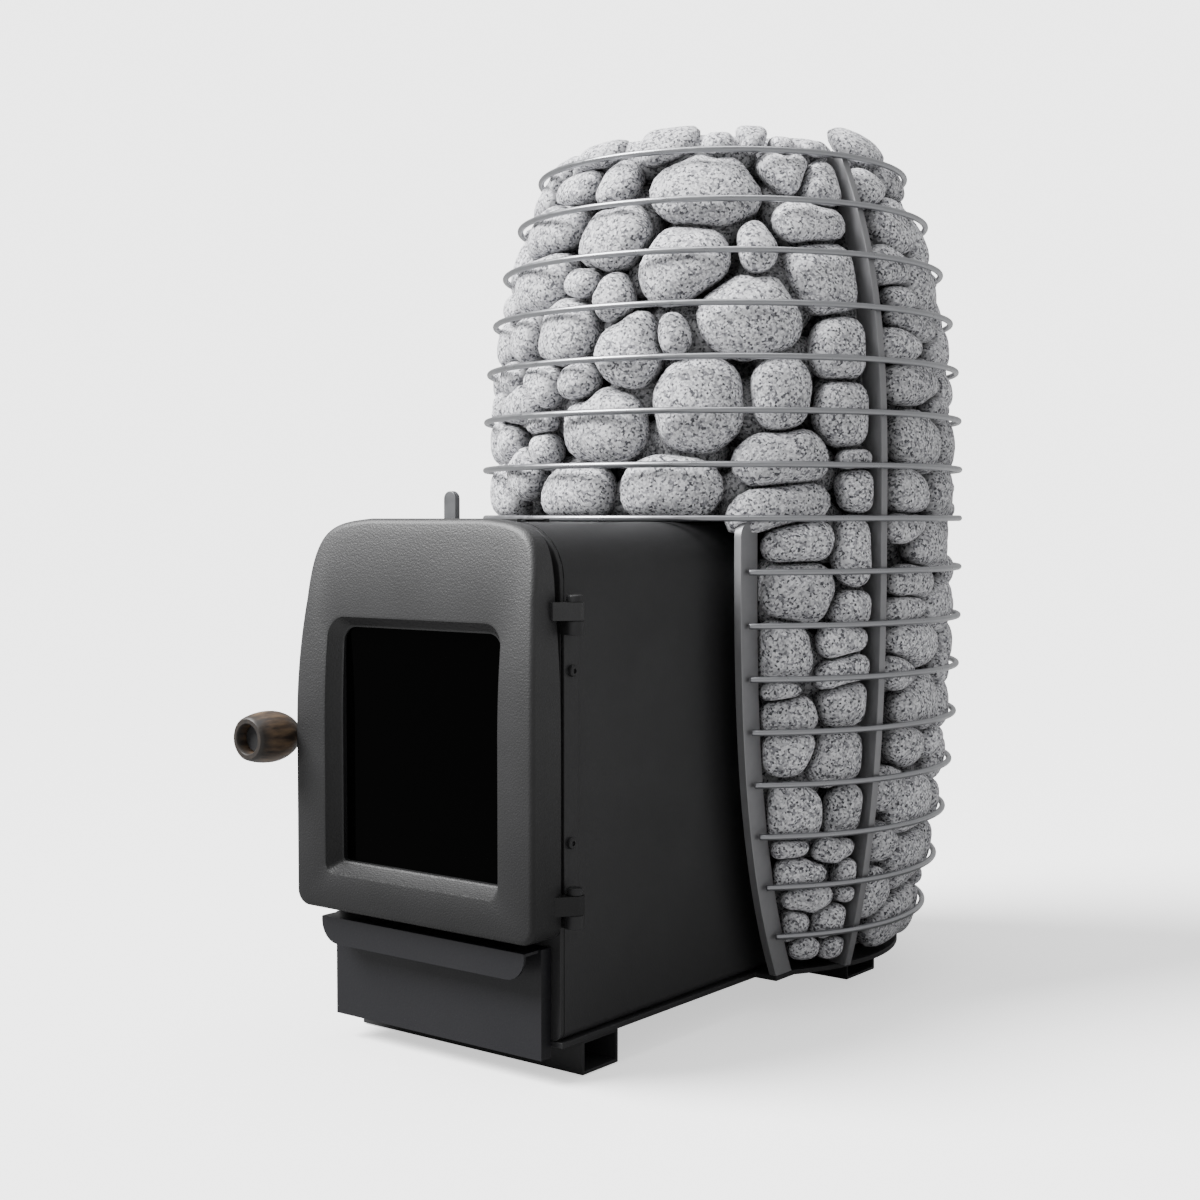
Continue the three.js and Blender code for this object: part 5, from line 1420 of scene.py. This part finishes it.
@dataclass
class Door:
    """Cast door with a bevelled window, glass, retainer and rope, hung on two ears.

    Attributes:
        width: Size across its lower part.
        bottom: Lowest height.
        top: Highest height.
        bend: Height where the sides start to taper.
        shoulder: Half width at the shoulders.
        shoulder_height: Their height.
        crown: Fall of the top edge towards the shoulders.
        turn: How far the top corner's first pull lies inside the shoulder and below the top.
        ease: How far its second pull lies inside the shoulder.
        corner: Radius of the lower corners.
        back: Depth of its back plane.
        thick: Thickness below.
        thin: Thickness at the top.
        bow: Height below the top where the face starts to lean back.
        edge: Rounding of the face's outer edge.
        rim: Width of the rim at the back.
        hollow: Depth of the hollow inside the rim.
        seat: Depth of the glass behind the back plane.
        window_half: Half width of the window.
        window_bottom: Lowest height of the window.
        window_top: Highest height of the window.
        bevel: Width of the window's bevel.
        bevel_deep: Depth of the bevel.
        lap: How far the glass's seat is wider than the window.
        hinge: Hinge axis in plan.
        eye: Radius of a hinge eye.
    """

    width: float = 280.0
    bottom: float = 125.0
    top: float = 475.0
    bend: float = 290.0
    shoulder: float = 134.0
    shoulder_height: float = 405.0
    crown: float = 4.0
    turn: tuple[float, float] = (2.0, 9.0)
    ease: float = 14.0
    corner: float = 14.0
    back: float = -442.0
    thick: float = 37.0
    thin: float = 15.0
    bow: float = 185.0
    edge: float = 5.0
    rim: float = 14.0
    hollow: float = 10.0
    seat: float = 17.9
    window_half: float = 94.0
    window_bottom: float = 167.0
    window_top: float = 380.0
    bevel: float = 8.0
    bevel_deep: float = 14.0
    lap: float = 8.3
    hinge: tuple[float, float] = (145.0, -430.0)
    eye: float = 8.0

    def outline(self, margin: float) -> np.ndarray:
        """Casting's outline drawn in by a margin: straight sides, a curved taper and a crowned top.

        Args:
            margin: Distance inside the outer edge.

        Returns:
            Points by 2, x and z, anticlockwise.
        """
        half, shoulder = self.width / 2 - margin, self.shoulder - margin
        low, top = self.bottom + margin, self.top - margin
        corner = max(self.corner - margin, 3.0)
        high = self.shoulder_height - margin / 2
        turn = np.linspace(-np.pi / 2, 0, 14)
        foot = np.stack([half - corner + corner * np.cos(turn), low + corner + corner * np.sin(turn)], -1)
        t = np.linspace(0, 1, 24)[:, None]
        a, b, c = np.array([[half, self.bend], [half, (self.bend + high) / 2], [shoulder, high]])
        taper = (1 - t) ** 2 * a + 2 * t * (1 - t) * b + t**2 * c
        first = np.array([shoulder - self.turn[0], top - self.turn[1]])
        second = np.array([shoulder - self.ease, top - self.crown])
        crown = np.array([shoulder / 2, top])
        t = np.linspace(0, 1, 48)[1:, None]
        over = (1 - t) ** 3 * c + 3 * t * (1 - t) ** 2 * first + 3 * t**2 * (1 - t) * second + t**3 * crown
        right = np.concatenate([foot, taper, over])
        return np.concatenate([right, right[::-1] * (-1, 1)])

    def spokes(self, outline: np.ndarray, angles: np.ndarray) -> np.ndarray:
        """Points where rays from the window's middle cross an outline.

        Args:
            outline: Closed outline, points by 2.
            angles: Directions of the rays.

        Returns:
            Angles by 2.
        """
        middle = np.array([0.0, (self.window_bottom + self.window_top) / 2])
        away = outline - middle
        bearing = np.arctan2(away[:, 1], away[:, 0])
        order = np.argsort(bearing)
        bearing, away = bearing[order], away[order]
        bearing = np.concatenate([bearing[-1:] - 2 * np.pi, bearing, bearing[:1] + 2 * np.pi])
        away = np.concatenate([away[-1:], away, away[:1]])
        after = np.clip(np.searchsorted(bearing, angles), 1, len(bearing) - 1)
        p, q = away[after - 1], away[after]
        ray = np.stack([np.cos(angles), np.sin(angles)], -1)
        step = q - p
        share = (p[:, 0] * ray[:, 1] - p[:, 1] * ray[:, 0]) / (step[:, 1] * ray[:, 0] - step[:, 0] * ray[:, 1])
        return middle + p + share[:, None] * step

    def depth(self, z: np.ndarray) -> np.ndarray:
        """Thickness at a height: full below, less by a square of the way up the bow."""
        rise = np.clip(1 - (self.top - z) / self.bow, 0, None)
        return self.thick - (self.thick - self.thin) * rise**2

    def casting(self) -> Skin:
        """Face, flank, bevel and back as rings of one closed strip round the window.

        Each ring is an outline set upright at a distance behind the face, a share of the thickness
        or a distance from the back.

        Returns:
            The casting's skin.
        """
        angles = np.linspace(-np.pi, np.pi, 960, endpoint=False)
        turn = np.linspace(np.pi / 2, 0, 7)
        sill = 1 - self.bevel_deep / self.thick
        inner, seat = self.window(-1.2), self.window(self.lap)
        rings = [(self.outline(0.0), 0.0, 0.0)]
        for t in turn:
            rings.append((self.outline(self.edge * (1 - math.sin(t))), 1.0, -self.edge * (1 - math.cos(t))))
        rings += [(self.outline(self.rim), 1.0, 0.0), (self.window(self.bevel + 2.0), 1.0, 0.0)]
        rings += [(self.window(self.bevel), 1.0, -0.7), (self.window(0.6), sill, 0.6), (self.window(0.0), sill, 0.0)]
        rings += [(inner, sill, -0.4), (inner, 0.0, self.seat), (seat, 0.0, self.seat), (seat, 0.0, self.hollow)]
        rings += [(self.outline(self.rim), 0.0, self.hollow), (self.outline(self.rim), 0.0, 0.0)]
        rows = []
        for outline, share, ahead in rings:
            plan = self.spokes(outline, angles)
            depth = self.back - share * self.depth(plan[:, 1]) - ahead
            rows.append(np.stack([plan[:, 0], depth, plan[:, 1]], -1))
        return sheet_of(np.stack(rows), wrap_rows=True)

    def window(self, grow: float) -> np.ndarray:
        """Window's outline grown by a margin, with larger corners above."""
        low, high = self.window_bottom - grow, self.window_top + grow
        more = 0.6 * max(grow, 0)
        return upright(2 * (self.window_half + grow), low, high, 14 + more, 4 + more)

    def ear(self, low: float, tall: float) -> Skin:
        """Hinge ear in plan: a block at the flank drawn out round the hinge axis.

        Args:
            low: Underside.
            tall: Height.

        Returns:
            The ear's skin.
        """
        x, y = self.hinge
        turn = np.linspace(-0.6, np.pi, 24)
        eye = np.array(self.hinge) + self.eye * np.stack([np.cos(turn), np.sin(turn)], -1)
        flank = self.width / 2 - (2.0 if low > self.bend else 0.0)
        root = np.array(
            [
                [x - self.eye, self.back + 4.5],
                [flank - 8, self.back + 4.5],
                [flank - 12, self.back],
                [flank - 12, self.back - 8],
                [flank, self.back - 8],
            ]
        )
        plan = np.concatenate([eye, root])
        rings = [np.column_stack([plan, np.full(len(plan), z)]) for z in (low, low + tall)]
        return sheet_of(np.stack(rings))

    def boss(self) -> Skin:
        """Round boss on the left flank that carries the latch."""
        profile = np.array([[0.0, -159.0], [8.2, -159.0], [9.0, -158.2], [9.0, -126.0], [0.0, -126.0]])
        return turned(profile, (0, self.back - 9, 277), "x", 32)

    def build(self, frame: dict[str, Any]) -> None:
        """Makes and dresses the door.
        """
        ears = [self.ear(391.0, 15.0), self.ear(146.0, 16.0)]
        casting = piece_of("door_casting_iron", joined([self.casting(), *ears, self.boss()]))
        dress(casting, CAST_IRON, Body.DOOR, ["door_casting"])
        dress(frame["nodes"]["door_glass"], DARK_GLASS, Body.DOOR)
        dress(frame["nodes"]["glass_retainer"], BARE_STEEL, Body.DOOR)
        dress(frame["nodes"]["door_gasket"], ROPE, Body.DOOR)


@dataclass
class Hinge:
    """Bracket strip on the firebox side, two pins and two bolts.

    Attributes:
        x: Hinge axis.
        y: Hinge axis.
        pin: Radius of a pin.
        head: Radius of its head.
        bolt: Radius of a bolt's head.
    """

    x: float = 145.0
    y: float = -430.0
    pin: float = 4.0
    head: float = 7.0
    bolt: float = 5.0

    def headed(self, tip: float, under: float) -> Skin:
        """Pin with a domed head: a stepped profile turned round the hinge axis.

        Args:
            tip: Height of the lower end.
            under: Height of the head's underside.

        Returns:
            The pin's skin.
        """
        turn = np.linspace(0, np.pi / 2, 6)
        dome = np.stack([self.head - 2 + 2 * np.cos(turn), under + 4 + 2 * np.sin(turn)], -1)
        shank = np.array([[0.0, tip], [self.pin - 0.6, tip], [self.pin, tip + 0.6], [self.pin, under], [self.head, under]])
        profile = np.concatenate([shank, dome, [[0.0, under + 6]]])
        return turned(profile, (self.x, self.y, 0), "z", 32)

    def bolt_head(self, y: float, z: float) -> Skin:
        """Low round bolt head on the strip's outer face."""
        turn = np.linspace(0, np.pi / 2, 6)
        dome = np.stack([self.bolt - 1.5 + 1.5 * np.cos(turn), 137.5 + 1.5 * np.sin(turn)], -1)
        profile = np.concatenate([[[0.0, 135.2], [self.bolt, 135.2]], dome, [[2.2, 139.0], [2.2, 137.4], [0.0, 137.4]]])
        return turned(profile, (0, y, z), "x", 28)

    def build(self, frame: dict[str, Any]) -> None:
        """Makes and dresses the hinge side.
        """
        dress(refined(frame, "hinge_bracket", 0.8), BLACK_SHEET, Body.STOVE, ["hinge_bracket"])
        for node, ear, tall in (("hinge_pin_upper", 391.0, 15.0), ("hinge_pin_lower", 146.0, 16.0)):
            pin = self.headed(ear - GAP - 12.0, ear + tall + GAP)
            dress(piece_of(f"{node}_steel", pin), BLACK_SHEET, Body.STOVE, [node])
        bolts = joined([self.bolt_head(-422.0, 348.0), self.bolt_head(-424.0, 203.5)])
        dress(piece_of("hinge_bracket_bolts", bolts), BLACK_SHEET, Body.STOVE)


@dataclass
class Latch:
    """Lever on the door's left flank with a turned wooden knob.

    Attributes:
        x: Lever's middle plane.
        z: Pivot's height.
        front: Front end of the lever.
        length: Length of the knob.
        radius: Largest radius of the knob.
        widest: Where it is widest, as a share of its length from the rear.
        taper: How fast it narrows to the rear and to the front; more is slower.
        recess: Radius and depth of the hole in its front end.
        bore: Radius of the bolt's hole.
    """

    x: float = -163.3
    z: float = 277.0
    front: float = -460.0
    length: float = 55.0
    radius: float = 23.5
    widest: float = 0.55
    taper: tuple[float, float] = (0.622, 0.765)
    recess: tuple[float, float] = (13.0, 14.0)
    bore: float = 4.3

    def knob(self) -> Skin:
        """Barrel of revolution with a recess in its front end.

        Its radius is the largest one times the root of 1 less the square of the way to each end.

        Returns:
            The knob's skin.
        """
        rear = self.front - GAP
        share = np.linspace(0, 1, 36)
        reach = np.where(share < self.widest, *self.taper)
        radius = self.radius * np.sqrt(1 - ((share - self.widest) / reach) ** 2)
        radius[0] -= 1.0
        radius[-1] -= 1.0
        side = np.stack([radius, rear - self.length * share], -1)
        front = rear - self.length
        wide, deep = self.recess
        hole = [[wide + 1.4, front], [wide + 0.4, front + 1.2], [wide, front + deep]]
        hole += [[self.bore, front + deep], [self.bore, rear]]
        return turned(np.concatenate([side, hole]), (self.x, 0, self.z), "y", 64)

    def build(self, frame: dict[str, Any]) -> None:
        """Makes and dresses the latch.
        """
        dress(refined(frame, "latch_lever", 0.8), CAST_IRON, Body.LATCH, ["latch_lever"])
        dress(piece_of("latch_knob_wood", self.knob(), 40), WOOD, Body.LATCH, ["latch_knob"])
        dress(refined(frame, "knob_bolt", 0.5), BLACK_SHEET, Body.LATCH, ["knob_bolt"])
        dress(refined(frame, "latch_pivot", 0.5), BARE_STEEL, Body.DOOR, ["latch_pivot"])
        dress(refined(frame, "latch_catch", 0.5), BARE_STEEL, Body.STOVE, ["latch_catch"])


@dataclass
class AshDrawer:
    """Folded drawer front with a pull lip, and the tray behind it.

    Attributes:
        fold: Rounding of the folded edges.
    """

    fold: float = 1.2

    def build(self, frame: dict[str, Any]) -> None:
        """Makes and dresses the drawer.
        """
        front = refined(frame, "ash_drawer_front", self.fold, 3)
        dress(front, DRAWER_PAINT, Body.DRAWER, ["ash_drawer_front"])
        dress(refined(frame, "ash_tray", 0.5), BLACK_SHEET, Body.DRAWER, ["ash_tray"])


@dataclass
class Studio:
    """Pale floor, soft light and the camera.

    Attributes:
        view: How the camera looks.
        backdrop: Brightness of the background that the camera sees.
        fill: Brightness of the room that lights the stove.
    """

    view: View = View()
    backdrop: float = 3.72
    fill: float = 0.62

    def look(self) -> None:
        """Puts the camera where the stove was seen from."""
        made = bpy.data.cameras.new("camera")
        made.lens = self.view.lens
        made.sensor_width = self.view.sensor
        made.clip_end = 50.0
        camera = bpy.data.objects.new("camera", made)
        bpy.context.scene.collection.objects.link(camera)
        camera.location = to_part(np.array(self.view.place)).tolist()
        camera.rotation_mode = "QUATERNION"
        camera.rotation_quaternion = Vector(self.view.ahead).to_track_quat("-Z", "Y")
        bpy.context.scene.camera = camera

    def lamp(self, name: str, place: Sequence[float], size: float, power: float) -> None:
        """Square soft box aimed at the stove's middle.

        Args:
            name: Light's name.
            place: Where it hangs, in metres.
            size: Edge in metres.
            power: Watts.
        """
        made = bpy.data.lights.new(name, "AREA")
        made.size = size
        made.energy = power
        lamp = bpy.data.objects.new(name, made)
        lamp.location = place
        lamp.rotation_mode = "QUATERNION"
        lamp.rotation_quaternion = (Vector((0, 0, 0.4)) - Vector(place)).to_track_quat("-Z", "Y")
        bpy.context.scene.collection.objects.link(lamp)

    def sun(self, name: str, towards: Sequence[float], spread: float, strength: float) -> None:
        """Far soft light that falls evenly on stove and floor.

        Args:
            name: Light's name.
            towards: Direction from the stove to the light.
            spread: Width of the light in degrees.
            strength: Watts on a square metre.
        """
        made = bpy.data.lights.new(name, "SUN")
        made.angle = math.radians(spread)
        made.energy = strength
        lamp = bpy.data.objects.new(name, made)
        lamp.rotation_mode = "QUATERNION"
        lamp.rotation_quaternion = (-Vector(towards)).to_track_quat("-Z", "Y")
        bpy.context.scene.collection.objects.link(lamp)

    def build(self) -> None:
        """Makes the floor, the lights and the camera."""
        floor_finish = PaleFloor("pale_floor", "floor", "#f4f4f4", 0.9, sheen=0.0)
        edge = 12.0
        mesh = bpy.data.meshes.new("floor")
        corners = [(-edge, -edge, -0.001), (edge, -edge, -0.001), (edge, edge, -0.001), (-edge, edge, -0.001)]
        mesh.from_pydata(corners, [], [(0, 1, 2, 3)])
        mesh.materials.append(floor_finish.material())
        floor = bpy.data.objects.new("floor", mesh)
        bpy.context.scene.collection.objects.link(floor)
        world = bpy.data.worlds.new("studio")
        world.use_nodes = True
        tree = world.node_tree
        path = add(tree, "ShaderNodeLightPath")
        seen = {"Value": path.outputs["Is Camera Ray"], "To Min": self.fill, "To Max": self.backdrop}
        strength = add(tree, "ShaderNodeMapRange", seen)
        background = tree.nodes["Background"]
        background.inputs["Color"].default_value = (1.0, 1.0, 1.0, 1.0)
        tree.links.new(strength.outputs["Result"], background.inputs["Strength"])
        bpy.context.scene.world = world
        self.sun("key", (-0.6, -0.62, 0.88), 34.0, 11.0)
        self.lamp("top", (0.0, 0.0, 2.4), 1.2, 20.0)
        self.look()


def main() -> None:
    """Builds every sub-assembly in order."""
    logging.basicConfig(level=logging.INFO, format="%(name)s %(message)s")
    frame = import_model()
    Cage().build()
    StoneFill().build()
    Firebox().build(frame)
    Door().build(frame)
    Hinge().build(frame)
    Latch().build(frame)
    AshDrawer().build(frame)
    Studio().build()


if __name__ == "__main__":
    main()
